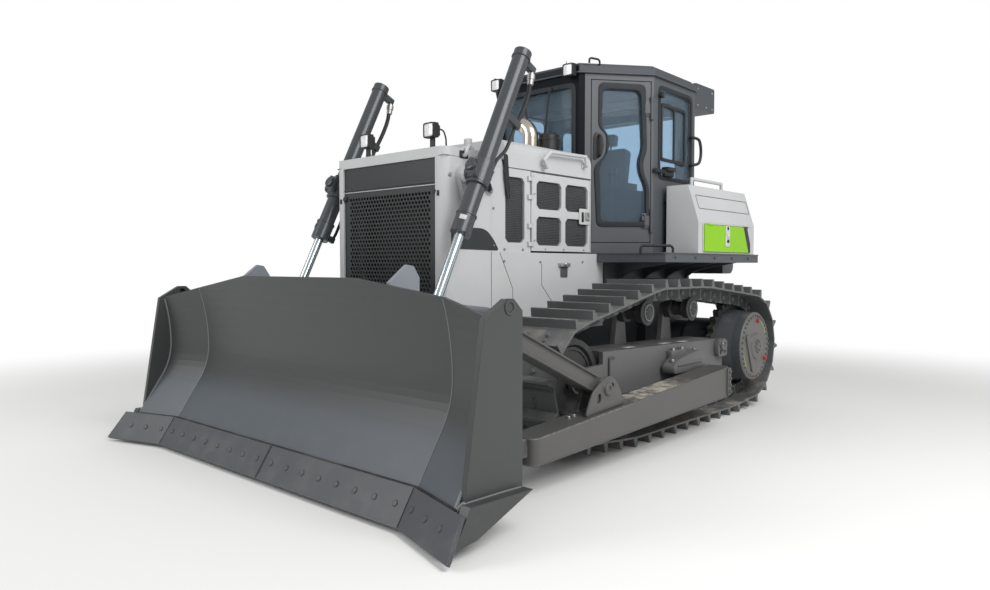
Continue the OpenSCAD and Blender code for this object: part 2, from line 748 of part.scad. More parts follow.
module rear_window(gap, y0, y1) {
    on_wall(cab_plan[3], cab_plan[4]) side(y0, y1, rounded(180 + gap, 2 * cab_rear_half - 180 - gap, 2130 + gap, 2830 - gap, 60));
}

module cab_floor() {
    color(charcoal) place() prism(deck_top_z, deck_top_z + 50, inset(cab_plan, cab_wall + seat_gap));
}

module cab_front_wall() {
    left = [face_point(post_front / 2, -cab_wall), cab_inner[1]];
    outline = concat([cab_plan[0], cab_plan[1], face_point(post_front / 2, 0)], left,
        [for (p = reversed(left)) [p[0], -p[1]]], [[face_point(post_front / 2, 0)[0], -face_point(post_front / 2, 0)[1]]]);
    color(charcoal) place() difference() {
        prism(deck_top_z, cab_top_z, outline);
        windscreen_cut(0, -20, cab_wall + 20);
    }
}

module cab_side_wall() {
    hinge = face_point(face_len - post_rear, door_hinge_out);
    union() {
        difference() {
            prism(deck_top_z, cab_top_z, [face_point(post_front / 2, 0), cab_plan[2], [cab_rear_x + cab_wall, side_y(cab_rear_x + cab_wall)],
                [cab_rear_x + cab_wall, side_y(cab_rear_x + cab_wall) - cab_wall], cab_inner[2], face_point(post_front / 2, -cab_wall)]);
            prism(door_bottom_z, door_top_z, [face_point(post_front, 60), face_point(face_len - post_rear, 60),
                face_point(face_len - post_rear, -140), face_point(post_front, -140)]);
            side_window(0, -20, cab_wall + 20);
        }
        // fixed hinge knuckles above and below those of the door
        for (z = door_hinge_zs) for (z0 = [z - 45, z + 110 + seat_gap]) {
            rod_z(hinge[0], hinge[1], 14, z0, z0 + 45 - seat_gap);
            on_wall(cab_plan[1], cab_plan[2]) box(face_len - post_rear + 6, face_len - 3, -door_hinge_out, 1, z0 + 4, z0 + 40);
        }
    }
}
door_hinge_zs = [1720, 2700];
function side_y(x) = cab_belt_half + (x - cab_belt_x) * (cab_rear_half - cab_belt_half) / (cab_rear_x - cab_belt_x);

module cab_left_wall() {
    color(charcoal) place() cab_side_wall();
}

module cab_right_wall() {
    color(charcoal) place() mirror([0, 1, 0]) cab_side_wall();
}

module cab_rear_wall() {
    y1 = side_y(cab_rear_x + cab_wall);
    color(charcoal) place() difference() {
        prism(deck_top_z, cab_top_z, mirrored([[cab_rear_x + cab_wall, y1], [cab_rear_x, cab_rear_half]]));
        rear_window(0, -20, cab_wall + 20);
    }
}

module cab_roof() {
    color(charcoal) place() union() {
        prism(cab_top_z, roof_top_z - 30, inset(cab_plan, -roof_overhang));
        prism(roof_top_z - 31, roof_top_z, inset(cab_plan, 25));
        // air conditioner housing behind the rear wall
        side(-cab_rear_half, cab_rear_half, rounded(40, cab_rear_x, 2890, roof_top_z, 20));
    }
}

module cab_glass() {
    mid = cab_wall / 2 - glass_thick / 2;
    color(glass_tone) place() {
        windscreen_cut(seat_gap, mid, mid + glass_thick);
        both() side_window(seat_gap, mid, mid + glass_thick);
        rear_window(seat_gap, mid, mid + glass_thick);
    }
}

module cab_door() {
    union() {
        difference() {
            prism(door_bottom_z + door_gap, door_top_z - door_gap, [face_point(post_front + door_gap, 0),
                face_point(face_len - post_rear - door_gap, 0), face_point(face_len - post_rear - door_gap, -cab_wall),
                face_point(post_front + door_gap, -cab_wall)]);
            door_window(0, -20, cab_wall + 20);
        }
        // hinge knuckles
        for (z = door_hinge_zs) {
            hinge = face_point(face_len - post_rear, door_hinge_out);
            rod_z(hinge[0], hinge[1], 14, z, z + 110);
            on_wall(cab_plan[1], cab_plan[2]) box(face_len - post_rear - 60, face_len - post_rear - 7, -14, 1, z + 10, z + 100);
        }
    }
}

module cab_door_left() {
    color(charcoal) place() cab_door();
}

module cab_door_right() {
    color(charcoal) place() mirror([0, 1, 0]) cab_door();
}

module door_glass() {
    mid = cab_wall / 2 - glass_thick / 2;
    door_window(seat_gap, mid, mid + glass_thick);
}

module door_glass_left() {
    color(glass_tone) place() door_glass();
}

module door_glass_right() {
    color(glass_tone) place() mirror([0, 1, 0]) door_glass();
}

module seat() {
    floor_z = deck_top_z + 50;
    color(black_tone) place() union() {
        box(760, 1060, -180, 180, floor_z, floor_z + 330);
        box(690, 1180, -260, 260, floor_z + 329, floor_z + 470);
        translate([760, 0, floor_z + 420]) rotate([0, -10, 0]) box(-120, 20, -250, 250, 0, 720);
    }
}

module consoles() {
    floor_z = deck_top_z + 50;
    color(black_tone) place() {
        both() box(760, 1240, 330, 480, floor_z, floor_z + 560);
        box(1560, 1700, -280, 280, floor_z, floor_z + 620);
    }
}

module handrails() {
    r = 15;
    rail_y = hood_half + 42;
    color(panel_grey) place() both() {
        bent_bar([[300, 1080, box_top_z], [300, 1080, box_top_z + 70], [900, 1080, box_top_z + 70], [900, 1080, box_top_z]], r);
        bent_bar([[2455, hood_half + seat_gap, 2152], [2455, rail_y, 2152], [2490, rail_y, 2205], [2411, rail_y, 2272], [1935, rail_y, 2285],
            [1915, rail_y, 2215], [1915, hood_half + seat_gap, 2215]], r);
    }
}

// Blade

low_turn = 90 - blade_foot_angle;
flat_end = [blade_foot_x - blade_foot_flat * cos(blade_foot_angle), blade_foot_z + blade_foot_flat * sin(blade_foot_angle)];
low_centre = flat_end + blade_low_r * [sin(blade_foot_angle), cos(blade_foot_angle)];
deep_point = [low_centre[0] - blade_low_r, low_centre[1]];
high_turn = asin((blade_crown_z - deep_point[1]) / blade_high_r);
face_line = concat([[blade_foot_x, blade_foot_z]],
    arc(low_centre[0], low_centre[1], blade_low_r, 180 + low_turn, 180, 6),
    [for (i = [1 : 8]) let (a = high_turn * i / 8) deep_point + blade_high_r * [1 - cos(a), sin(a)]]);
back_line = [for (p = face_line) p - [blade_plate, 0]];
function squeezed(pts) = [for (p = pts) [(p[0] - blade_foot_x) * cos(blade_wing_angle), p[1]]];

// Turns an outline about the wing joint so that it runs outwards and forwards.
module along_wing(pts) {
    translate([blade_foot_x, blade_half, 0]) rotate([0, 0, -blade_wing_angle]) side(-300, 900, squeezed(pts));
}

// What lies under the blade's top edge, which falls from the flat crown to the corners.
function crown_z(y) = y > blade_half ? blade_joint_z + (y - blade_half) * (blade_corner_z - blade_joint_z) / (blade_side_y - blade_half)
    : y > blade_crown_half ? blade_crown_z + (y - blade_crown_half) * (blade_joint_z - blade_crown_z) / (blade_half - blade_crown_half)
    : blade_crown_z;

module moldboard() {
    sheet = concat(face_line, reversed(back_line));
    inner = blade_side_y - blade_side_thick;
    color(charcoal) place() union() {
        intersection() {
            side(-blade_half, blade_half, sheet);
            across(3000, 5200, mirrored([[-10, blade_half + 1], [blade_joint_z, blade_half + 1], [blade_joint_z, blade_half], [blade_crown_z, blade_crown_half]]) * [[0, 1], [1, 0]]);
        }
        both() intersection() {
            along_wing(sheet);
            across(3000, 5200, [[blade_half - 0.5, -10], [inner, -10], [inner, crown_z(inner)], [blade_half - 0.5, blade_joint_z]]);
        }
    }
}

rod_bottom = [lift_pivot_x, lift_pivot_z] + rod_reach * [sin(lift_lean), -cos(lift_lean)];

module blade_back() {
    low_top = 430;
    rear_low = blade_foot_x - 460;
    low_pts = [for (p = back_line) if (p[1] <= low_top) p];
    color(charcoal) place() union() {
        // lower beam
        side(-1520, 1520, concat(low_pts, [[rear_low + 60, low_top], [rear_low, low_top - 50], [rear_low, 250], [rear_low + 60, blade_foot_z]]));
        // upper beam
        side(-1330, 1330, concat([for (p = back_line) if (p[1] >= 920 && p[1] <= 1160) p], [[4080, 1100], [4080, 960]]));
        both() {
            for (y = [230, 1100]) side(y, y + 25, rib_line);
            // ears for the lift rod, cut back where the barrel comes down between them at full lift
            for (y = [lift_y - 72, lift_y + 42]) difference() {
                side(y, y + 30, concat([for (p = back_line) if (p[1] >= 400 && p[1] <= 1200) p],
                    y > lift_y ? [[4230, 1282], [4090, 1388], [4040, 1380], [3992, 1310]] : [[4080, 1150]],
                    [[y > lift_y ? 3999 : 4030, 880], [4042, 790], [4010, 700]],
                    arc(rod_bottom[0], rod_bottom[1], 88, 160, 250, 6), [[rod_bottom[0] + 60, low_top - 20]]));
            }
            rod_y(rod_bottom[0], rod_bottom[1], rod_pin_r, lift_y - 80, lift_y - 38);
            rod_y(rod_bottom[0], rod_bottom[1], rod_pin_r, lift_y + 38, lift_y + 80);
            // ears for the brace
            for (y = [brace_y - brace_wide / 2 - 26, brace_y + brace_wide / 2 + 1])
                side(y, y + 25, concat([for (p = back_line) if (p[1] >= 900 && p[1] <= 1190) p + [max(0, (y - blade_half) * tan(blade_wing_angle)), 0]],
                    arc(brace_front_x, brace_front_z, brace_eye_r + 16, 90, 270, 6)));
            rod_y(brace_front_x, brace_front_z, brace_pin_r, brace_y - brace_wide / 2 - 20, brace_y + brace_wide / 2 + 20);
        }
    }
}
rib_line = concat([for (p = back_line) if (p[1] <= 1190) p], [[4090, 1130], [blade_foot_x - 400, 300], [blade_foot_x - 300, blade_foot_z]]);

module blade_side() {
    inner = blade_side_y - blade_side_thick;
    difference() {
        union() {
            side(inner + seat_gap, blade_side_y, [[4130, 223], [4560, 240], [4420, blade_corner_z], [4262, 1214], [4200, 1214], [4130, 1150]]);
            side(blade_side_y - 1, blade_side_y + 64, [[4120, 226], [4585, 240], [4604, 207], [4700, 60], [4540, 73]]);
        }
        rod_y(4232, 1170, eye_r, inner - 10, blade_side_y + 10);
    }
}

module blade_sides() {
    color(charcoal) place() both() blade_side();
}

// A flat blade edge in front of the foot of the moldboard.
edge_foot = [blade_foot_x, blade_foot_z] + edge_length * [cos(blade_foot_angle), -sin(blade_foot_angle)];
edge_out = edge_thick * [sin(blade_foot_angle), cos(blade_foot_angle)];
edge_line = [[blade_foot_x, blade_foot_z] + [0.5, 0], edge_foot, edge_foot + edge_out, [blade_foot_x, blade_foot_z] + edge_out];

module cutting_edges() {
    color(charcoal) place() both() {
        side(1, blade_half - 1, edge_line);
        intersection() {
            along_wing(edge_line);
            across(4000, 5200, [[blade_half + 1, -20], [end_bit_y, -20], [end_bit_y, 40], [blade_side_y + 70, 240], [blade_half + 1, 400]]);
        }
    }
}

module push_arm() {
    r = 60;
    difference() {
        union() {
            intersection() {
                side(arm_inner_y, arm_outer_y, [[arm_rear_x, arm_rear_low_z], [arm_front_x, arm_front_low_z],
                    [arm_front_x, arm_front_high_z], [arm_rear_x, arm_rear_high_z]]);
                translate([0, 0, -10]) linear_extrude(900) polygon(concat([[arm_rear_x, arm_inner_y], [arm_front_x, arm_inner_y]],
                    arc(arm_front_x - r, arm_outer_y - r, r, 0, 90), arc(arm_rear_x + r, arm_outer_y - r, r, 90, 180)));
            }
            box(arm_front_x - 5, blade_foot_x - 460, 1380, 1490, 250, 360);
            // brace fork
            for (y = [brace_y - brace_wide / 2 - 26, brace_y + brace_wide / 2 + 1])
                side(y, y + 25, concat([[brace_rear_x - 230, 380]], [[brace_rear_x + 150, 380]],
                    arc(brace_rear_x, brace_rear_z, brace_eye_r + 14, 20, 160)));
            rod_y(brace_rear_x, brace_rear_z, brace_pin_r, brace_y - brace_wide / 2 - 20, brace_y + brace_wide / 2 + 20);
        }
        rod_y(arm_pin_x, arm_pin_z, arm_pin_r + seat_gap, arm_inner_y - 1, arm_outer_y - 15);
    }
}

module push_arms() {
    color(charcoal) place() both() push_arm();
}

module braces() {
    ends = [[brace_rear_x, brace_rear_z], [brace_front_x, brace_front_z]];
    lean = atan2(brace_front_z - brace_rear_z, brace_front_x - brace_rear_x);
    color(charcoal) place() both() difference() {
        side(brace_y - brace_wide / 2, brace_y + brace_wide / 2, concat(
            arc(ends[0][0], ends[0][1], brace_deep / 2, lean + 90, lean + 270, 8),
            arc(ends[1][0], ends[1][1], brace_deep / 2, lean - 90, lean + 90, 8)));
        for (p = ends) rod_y(p[0], p[1], brace_pin_r + seat_gap, brace_y - brace_wide, brace_y + brace_wide);
    }
}

// Lift cylinders, drawn along Z with the pivot at the origin

module on_lift() {
    translate([lift_pivot_x, lift_y, lift_pivot_z]) rotate([0, -lift_lean, 0]) children();
}

module lift_barrel() {
    gland = 70;
    hub = lift_y - boss_face_y - running_gap;
    on_lift() difference() {
        union() {
            translate([0, 0, -barrel_below]) cylinder(h = barrel_above + barrel_below, r = barrel_r);
            translate([0, 0, -barrel_below - 1]) cylinder(h = 150, r = barrel_r + 7);
            translate([0, 0, barrel_above - 60]) cylinder(h = 61, r = barrel_r + 4);
            // trunnion ring, its hub towards the guard, and the bearing block in front
            translate([0, 0, -85]) cylinder(h = 170, r = barrel_r + 14);
            translate([0, -hub, 0]) rotate([-90, 0, 0]) cylinder(h = hub, r = 68);
            translate([0, 52, 0]) rotate([90, 0, 0]) linear_extrude(104) polygon([[0, -74], [82, -74], [104, -48], [104, 48], [82, 74], [0, 74]]);
            rotate([0, 90, 0]) cylinder(h = 118, r = 44);
        }
        translate([0, 0, gland - barrel_below]) cylinder(h = barrel_above + barrel_below - gland - 25, r = rod_r + running_gap);
        translate([0, 0, -barrel_below - 5]) cylinder(h = gland + 10, r = rod_r + seat_gap);
        translate([0, -hub - 1, 0]) rotate([-90, 0, 0]) cylinder(h = hub - barrel_r + 15, r = pivot_pin_r + seat_gap);
    }
}

module lift_rod() {
    on_lift() difference() {
        union() {
            translate([0, 0, -rod_reach]) cylinder(h = rod_reach - barrel_below + rod_inside, r = rod_r);
            translate([0, -36, -rod_reach]) rotate([-90, 0, 0]) cylinder(h = 72, r = rod_eye_r);
        }
        translate([0, -40, -rod_reach]) rotate([-90, 0, 0]) cylinder(h = 80, r = rod_pin_r);
    }
}

module lift_barrel_left() {
    color(charcoal) place() lift_barrel();
}

module lift_barrel_right() {
    color(charcoal) place() mirror([0, 1, 0]) lift_barrel();
}

module lift_rod_left() {
    color(chrome_tone) place() lift_rod();
}

module lift_rod_right() {
    color(chrome_tone) place() mirror([0, 1, 0]) lift_rod();
}

track_left();
track_right();
sprockets();
idlers();
track_rollers();
carrier_rollers();
track_frames();
final_drives();
main_frame();
belly_guard();
equalizer_bar();
drawbar();
engine();
radiator();
radiator_guard();
sign_panel();
grille();
hood_top();
cowl();
side_panels();
engine_door_left();
engine_door_right();
exhaust();
precleaner();
lamps();
fender_deck();
side_boxes();
box_door_left();
box_door_right();
fuel_tank();
cab_floor();
cab_front_wall();
cab_left_wall();
cab_right_wall();
cab_rear_wall();
cab_roof();
cab_glass();
cab_door_left();
cab_door_right();
door_glass_left();
door_glass_right();
seat();
consoles();
handrails();
moldboard();
blade_back();
blade_sides();
cutting_edges();
push_arms();
braces();
lift_barrel_left();
lift_barrel_right();
lift_rod_left();
lift_rod_right();
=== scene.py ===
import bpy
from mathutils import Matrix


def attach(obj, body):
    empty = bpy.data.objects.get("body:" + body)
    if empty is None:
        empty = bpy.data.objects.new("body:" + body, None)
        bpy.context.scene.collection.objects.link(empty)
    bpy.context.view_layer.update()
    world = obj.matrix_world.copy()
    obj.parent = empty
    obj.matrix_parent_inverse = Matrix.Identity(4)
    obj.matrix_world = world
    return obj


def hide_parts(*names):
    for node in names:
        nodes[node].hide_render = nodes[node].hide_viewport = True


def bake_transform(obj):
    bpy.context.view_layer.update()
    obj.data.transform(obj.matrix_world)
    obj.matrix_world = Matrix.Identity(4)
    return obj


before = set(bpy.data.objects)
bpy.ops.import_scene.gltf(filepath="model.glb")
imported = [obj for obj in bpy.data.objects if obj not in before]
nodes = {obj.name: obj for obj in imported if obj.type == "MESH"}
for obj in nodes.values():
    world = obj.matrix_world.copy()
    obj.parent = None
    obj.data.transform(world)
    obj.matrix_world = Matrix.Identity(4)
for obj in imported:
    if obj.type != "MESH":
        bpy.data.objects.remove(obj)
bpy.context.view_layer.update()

import copy
import math

import bpy
from mathutils import Matrix, Vector

# Studio: a pale floor that fades out to a white surround, one broad lamp high on the left, a weaker
# one at the right, and the camera at the photograph's place. Nothing here is part of the machine.
CAMERA_PLACE = Vector((5.0507, 4.281, 1.383))
CAMERA_LOOK = Vector((-0.7438, -0.6672, -0.0393))
CAMERA_LENS = 27.25
CAMERA_REACH = 200.0
SENSOR_WIDTH = 36.0


def looking(way):
    """The turn of a camera or lamp that looks along a way."""
    return way.to_track_quat("-Z", "Y").to_euler()


bpy.ops.object.camera_add(location=CAMERA_PLACE, rotation=looking(CAMERA_LOOK))
camera = bpy.context.object
camera.name = "photo_camera"
camera.data.lens = CAMERA_LENS
camera.data.sensor_fit = "HORIZONTAL"
camera.data.sensor_width = SENSOR_WIDTH
camera.data.clip_end = CAMERA_REACH
bpy.context.scene.camera = camera
bpy.context.scene.view_settings.view_transform = "Standard"


class Shade:
    """One value in a material. Arithmetic on it adds Math nodes."""

    def __init__(self, finish, socket):
        self.finish = finish
        self.socket = socket

    def maths(self, operation, first, second=0.0):
        return self.finish.add("Math", {"operation": operation}, [first, second])

    def __add__(self, other):
        return self.maths("ADD", self, other)

    def __radd__(self, other):
        return self.maths("ADD", other, self)

    def __sub__(self, other):
        return self.maths("SUBTRACT", self, other)

    def __rsub__(self, other):
        return self.maths("SUBTRACT", other, self)

    def __mul__(self, other):
        return self.maths("MULTIPLY", self, other)

    def __rmul__(self, other):
        return self.maths("MULTIPLY", other, self)

    def __abs__(self):
        return self.maths("ABSOLUTE", self)


BEVEL_SAMPLES = 4
EDGE_FADE = (0.02, 0.2)


class Finish:
    """A procedural material, mixed node by node on its Principled shader, with its pieces' slot."""

    def __init__(self, name, slot=None, **constant):
        self.slot = slot
        self.material = bpy.data.materials.new(name)
        self.material.use_nodes = True
        self.tree = self.material.node_tree
        self.shader = self.tree.nodes["Principled BSDF"]
        for socket, value in constant.items():
            self.shader.inputs[socket.replace("_", " ")].default_value = value
        self.where = self.add("TexCoord", out="Object")

    def add(self, kind, settings=None, inputs=(), out=0):
        node = self.tree.nodes.new("ShaderNode" + kind)
        for key, value in (settings or {}).items():
            setattr(node, key, value)
        pairs = inputs.items() if isinstance(inputs, dict) else enumerate(inputs)
        for key, value in pairs:
            if isinstance(value, Shade):
                self.tree.links.new(value.socket, node.inputs[key])
            else:
                node.inputs[key].default_value = value
        return Shade(self, node.outputs[out])

    def mix(self, share, first, second):
        first = (*first, 1.0) if isinstance(first, tuple) and len(first) == 3 else first
        second = (*second, 1.0) if isinstance(second, tuple) and len(second) == 3 else second
        return self.add("Mix", {"data_type": "RGBA"}, {0: share, 6: first, 7: second}, out=2)

    def step(self, value, low, high):
        return self.add("MapRange", {"interpolation_type": "SMOOTHSTEP"}, [value, low, high, 0.0, 1.0])

    def noise(self, scale, detail=3.0):
        return self.add("TexNoise", None, {"Vector": self.where, "Scale": scale, "Detail": detail}, out="Fac")

    def along(self, axis):
        return self.add("SeparateXYZ", None, [self.where], out=axis)

    def normal(self):
        return self.add("NewGeometry", out="Normal")

    def rounded(self, width):
        return self.add("Bevel", {"samples": BEVEL_SAMPLES}, {"Radius": width}, out="Normal")

    def upward(self):
        return self.add("SeparateXYZ", None, [self.normal()], out="Z")

    def edges(self, width):
        pair = [self.rounded(width), self.normal()]
        same = self.add("VectorMath", {"operation": "DOT_PRODUCT"}, pair, out="Value")
        return self.step(1.0 - same, *EDGE_FADE)

    def bump(self, height, strength, distance=0.001, rounded=None):
        inputs = {"Height": height, "Strength": strength, "Distance": distance}
        if rounded:
            inputs["Normal"] = self.rounded(rounded)
        self.set("Normal", self.add("Bump", None, inputs))

    def set(self, socket, value):
        self.tree.links.new(value.socket, self.shader.inputs[socket])

    def coat(self, *pieces):
        for piece in pieces:
            piece.data.materials.clear()
            piece.data.materials.append(self.material)

    def coat_nodes(self, *names):
        self.coat(*(nodes[name] for name in names))

    def filling(self, slot):
        """The same material, for pieces that fill another slot."""
        twin = copy.copy(self)
        twin.slot = slot
        return twin


FLOOR_SIZE = 60.0
FLOOR_NEAR = 4.5
FLOOR_FAR = 9.0
FLOOR_COLOUR = (0.86, 0.86, 0.85)
WHITE = (1.0, 1.0, 1.0, 1.0)
bpy.ops.mesh.primitive_plane_add(size=FLOOR_SIZE)
floor = bpy.context.object
floor.name = "studio_floor"
floor_finish = Finish("studio_floor", Base_Color=(*FLOOR_COLOUR, 1.0), Roughness=0.9)
floor_reach = floor_finish.add("VectorMath", {"operation": "LENGTH"}, [floor_finish.where], out="Value")
floor_fade = floor_finish.step(floor_reach, FLOOR_NEAR, FLOOR_FAR)
floor_glow = floor_finish.add("Emission", None, {"Color": WHITE, "Strength": 1.0})
floor_paint = Shade(floor_finish, floor_finish.shader.outputs[0])
floor_mix = floor_finish.add("MixShader", None, {0: floor_fade, 1: floor_paint, 2: floor_glow})
floor_end = floor_finish.tree.nodes["Material Output"]
floor_finish.tree.links.new(floor_mix.socket, floor_end.inputs["Surface"])
floor_finish.coat(floor)

world = bpy.data.worlds.new("studio_surround")
bpy.context.scene.world = world
world.use_nodes = True
SURROUND_LIGHT = 0.55
surround = world.node_tree
rays = surround.nodes.new("ShaderNodeLightPath")
seen = surround.nodes.new("ShaderNodeMath")
seen.operation = "MAXIMUM"
surround.links.new(rays.outputs["Is Camera Ray"], seen.inputs[0])
surround.links.new(rays.outputs["Is Transmission Ray"], seen.inputs[1])
level = surround.nodes.new("ShaderNodeMapRange")
level.inputs["To Min"].default_value = SURROUND_LIGHT
level.inputs["To Max"].default_value = 1.0
surround.links.new(seen.outputs[0], level.inputs["Value"])
surround.links.new(level.outputs[0], surround.nodes["Background"].inputs["Strength"])
surround.nodes["Background"].inputs["Color"].default_value = WHITE

LAMPS = (
    ("studio_lamp_high", Vector((1.6, 6.6, 6.2)), Vector((0.0, 0.0, 1.0)), 5.0, 450.0),
    ("studio_lamp_front", Vector((8.0, -3.5, 5.0)), Vector((0.5, 0.0, 1.0)), 4.0, 210.0),
)
for lamp_name, lamp_place, lamp_aim, lamp_size, lamp_power in LAMPS:
    bpy.ops.object.light_add(type="AREA", location=lamp_place, rotation=looking(lamp_aim - lamp_place))
    bpy.context.object.name = lamp_name
    bpy.context.object.data.size = lamp_size
    bpy.context.object.data.energy = lamp_power

# Chassis: the welded main frame and transmission case with the belly
# guard, equalizer bar and drawbar, and the engine and radiator blocks that
# it carries. Steel, sprayed with charcoal enamel that is dusty low down.
DUST = (0.42, 0.37, 0.30)
CHARCOAL = (0.070, 0.077, 0.086)
CLOUD_SCALE = 1.7
MUD_SCALE = 7.0
SPECK_SCALE = 60.0
FINE_SCALE = 420.0
TOP_SHARE = 0.55
GROUND_SHARE = 0.45
GROUND_Z = 0.1
UP_FADE = (0.35, 0.95)
MUD_FADE = (0.42, 0.72)
SPECK_FADE = (0.35, 0.7)
CLOUD_DARK = 0.88
CLOUD_PALE = 1.1
CLOUD_ROUGH = 0.08
DIRT_ROUGH = 0.5
DIRT_BUMP = 2.0
GRAIN_BUMP = 0.5
WEAR_SPREAD = 1.5
WEAR_GAIN = 1.6
WEAR_LIFT = 0.05
WEAR_POLISH = 0.1


def paint(name, colour, slot="charcoal_paint", rough=0.42, dust=0.35, wear=0.25, low=0.9, rounded=0.006,
          worn=None, layers=(), gloss=0.5):
    """Sprayed enamel: cloudy in tone, dusty on top and low down, and rubbed lighter along its edges."""
    finish = Finish(name, slot, Specular_IOR_Level=gloss)
    cloud = finish.noise(CLOUD_SCALE, 4.0)
    speck = finish.noise(SPECK_SCALE, 2.0)
    fine = finish.noise(FINE_SCALE, 1.0)
    up = finish.step(finish.upward(), *UP_FADE)
    mud = finish.step(finish.noise(MUD_SCALE, 6.0), *MUD_FADE)
    ground = 1.0 - finish.step(finish.along("Z"), GROUND_Z, low)
    dirt = (up * TOP_SHARE + ground * GROUND_SHARE) * mud * dust
    edge = finish.edges(rounded * WEAR_SPREAD) * finish.step(speck, *SPECK_FADE) * wear
    rubbed = worn or tuple(min(1.0, c * WEAR_GAIN + WEAR_LIFT) for c in colour)
    darker = tuple(c * CLOUD_DARK for c in colour)
    lighter = tuple(min(1.0, c * CLOUD_PALE) for c in colour)
    tone = finish.mix(cloud, darker, lighter)
    for mask, layer in layers:
        tone = finish.mix(mask(finish), tone, layer)
    tone = finish.mix(edge, tone, rubbed)
    finish.set("Base Color", finish.mix(dirt, tone, DUST))
    finish.set("Roughness", rough + cloud * CLOUD_ROUGH + dirt * DIRT_ROUGH - edge * WEAR_POLISH)
    finish.bump(fine * GRAIN_BUMP + speck * GRAIN_BUMP + dirt * DIRT_BUMP, 0.12, 0.0006, rounded)
    return finish


charcoal = paint("charcoal_enamel", CHARCOAL, dust=0.2)
black = paint("black_enamel", (0.012, 0.012, 0.013), "black_paint", rough=0.5, dust=0.2)
charcoal.coat_nodes("main_frame", "belly_guard", "equalizer_bar", "drawbar", "engine")
black.coat_nodes("radiator")

AXLE_X = 2059.336
BODY = "chassis"


def at(x, y, z):
    """A place in metres, from one in millimetres with x measured from the sprocket axle."""
    return Vector((x - AXLE_X, y, z)) / 1000


def facing(place, across, up):
    """A wall to work on: across and up lie in it, and the third axis stands out of it."""
    across, up = Vector(across).normalized(), Vector(up).normalized()
    wall = Matrix((across, up, across.cross(up))).transposed().to_4x4()
    wall.translation = place
    return wall


def on_rear(x, y, z):
    return facing(at(x, y, z), (0, -1, 0), (0, 0, 1))


def on_top(x, y, z):
    return facing(at(x, y, z), (1, 0, 0), (0, 1, 0))


def take(*group):
    """Leaves only these pieces selected, with the first one active."""
    bpy.ops.object.select_all(action="DESELECT")
    for piece in group:
        piece.select_set(True)
    bpy.context.view_layer.objects.active = group[0]


def joined(*group):
    """Makes one piece of these, with its place in its mesh."""
    take(*group)
    if len(group) > 1:
        bpy.ops.object.join()
    bpy.ops.object.transform_apply(location=True, rotation=True, scale=True)
    return bpy.context.object


def copied(piece):
    twin = piece.copy()
    twin.data = piece.data.copy()
    bpy.context.collection.objects.link(twin)
    return twin


def repeated(piece, walls):
    """Copies a piece that stands at the origin to each of the walls, and joins the copies."""
    group = []
    for wall in walls:
        twin = copied(piece)
        twin.matrix_world = wall
        group.append(twin)
    bpy.data.objects.remove(piece)
    return joined(*group)


def turned(rings, wall, sides=24):
    """A round piece, extruded ring by ring as on a lathe. A ring is a radius and a height."""
    radius, height = rings[0]
    bpy.ops.mesh.primitive_circle_add(vertices=sides, radius=radius / 1000, fill_type="NGON")
    piece = bpy.context.object
    bpy.ops.object.mode_set(mode="EDIT")
    bpy.ops.mesh.select_all(action="SELECT")
    bpy.ops.transform.translate(value=(0.0, 0.0, height / 1000))
    for wider, higher in rings[1:]:
        rise = (0.0, 0.0, (higher - height) / 1000)
        bpy.ops.mesh.extrude_region_move(TRANSFORM_OT_translate={"value": rise})
        bpy.ops.transform.resize(value=(wider / radius, wider / radius, 1.0))
        radius, height = wider, higher
    bpy.ops.mesh.select_all(action="SELECT")
    bpy.ops.mesh.normals_make_consistent(inside=False)
    bpy.ops.object.mode_set(mode="OBJECT")
    piece.matrix_world = wall
    return joined(piece)


WASHER_SPREAD = 1.4
WASHER_SHARE = 0.2
SHOULDER_SHARE = 0.85
CROWN_SHARE = 0.84
SMOOTH_ANGLE = math.radians(35)


def bolts(head, tall, walls):
    """Hexagon bolt heads on their washers, one on each of the walls."""
    wide, low = head * WASHER_SPREAD, tall * WASHER_SHARE
    washer = turned([(wide, 0.0), (wide, low)], Matrix(), 10)
    hexagon = turned([(head, low), (head, tall * SHOULDER_SHARE), (head * CROWN_SHARE, tall)], Matrix(), 6)
    return repeated(joined(hexagon, washer), walls)


def smooth(piece):
    take(piece)
    bpy.ops.object.shade_smooth_by_angle(angle=SMOOTH_ANGLE)


def settle(piece, name, finish, body=BODY):
    """Finishes a piece: it gets its name, coat and smooth faces, and rides on its body."""
    smooth(joined(piece))
    piece.name = name
    piece.data.name = name
    finish.coat(piece)
    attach(piece, body)
    return piece


PIN_X = -540.0
CASE_REAR = -430.0
pin_rings = [(24, 470), (26, 474), (26, 790), (44, 794), (44, 806), (20, 812), (14, 850), (10, 856)]
settle(turned(pin_rings, on_top(PIN_X, 0, 0), 20), "drawbar_pin", black)
case_bolts = [on_rear(CASE_REAR, y, z) for y in (-380, -190, 0, 190, 380) for z in (720, 980)]
settle(bolts(16, 14, case_bolts), "case_bolts", charcoal)

# Final drives: cast drums outside the sprockets, closed by a cover with a
# ring of bolts, a bolted centre boss, a raised rib and two red oil plugs.
# Charcoal drums, warm grey covers, and dashes of marking paint on the bolts.
AXLE_Z = 600.0
COVER_FACE = 1307.0
BOSS_FACE = 1335.0
COVER_BOLTS = 36
COVER_BOLT_RING = 296.0
BOSS_BOLTS = 8
BOSS_BOLT_RING = 56.0
COVER_GREY = (0.118, 0.116, 0.110)
COVER_FADE = (1.292, 1.298)
DOUBLES = 0.00002
MACHINE = Matrix.Translation((-AXLE_X / 1000, 0.0, 0.0))


def cover_mask(finish):
    return finish.step(abs(finish.along("Y")), *COVER_FADE)


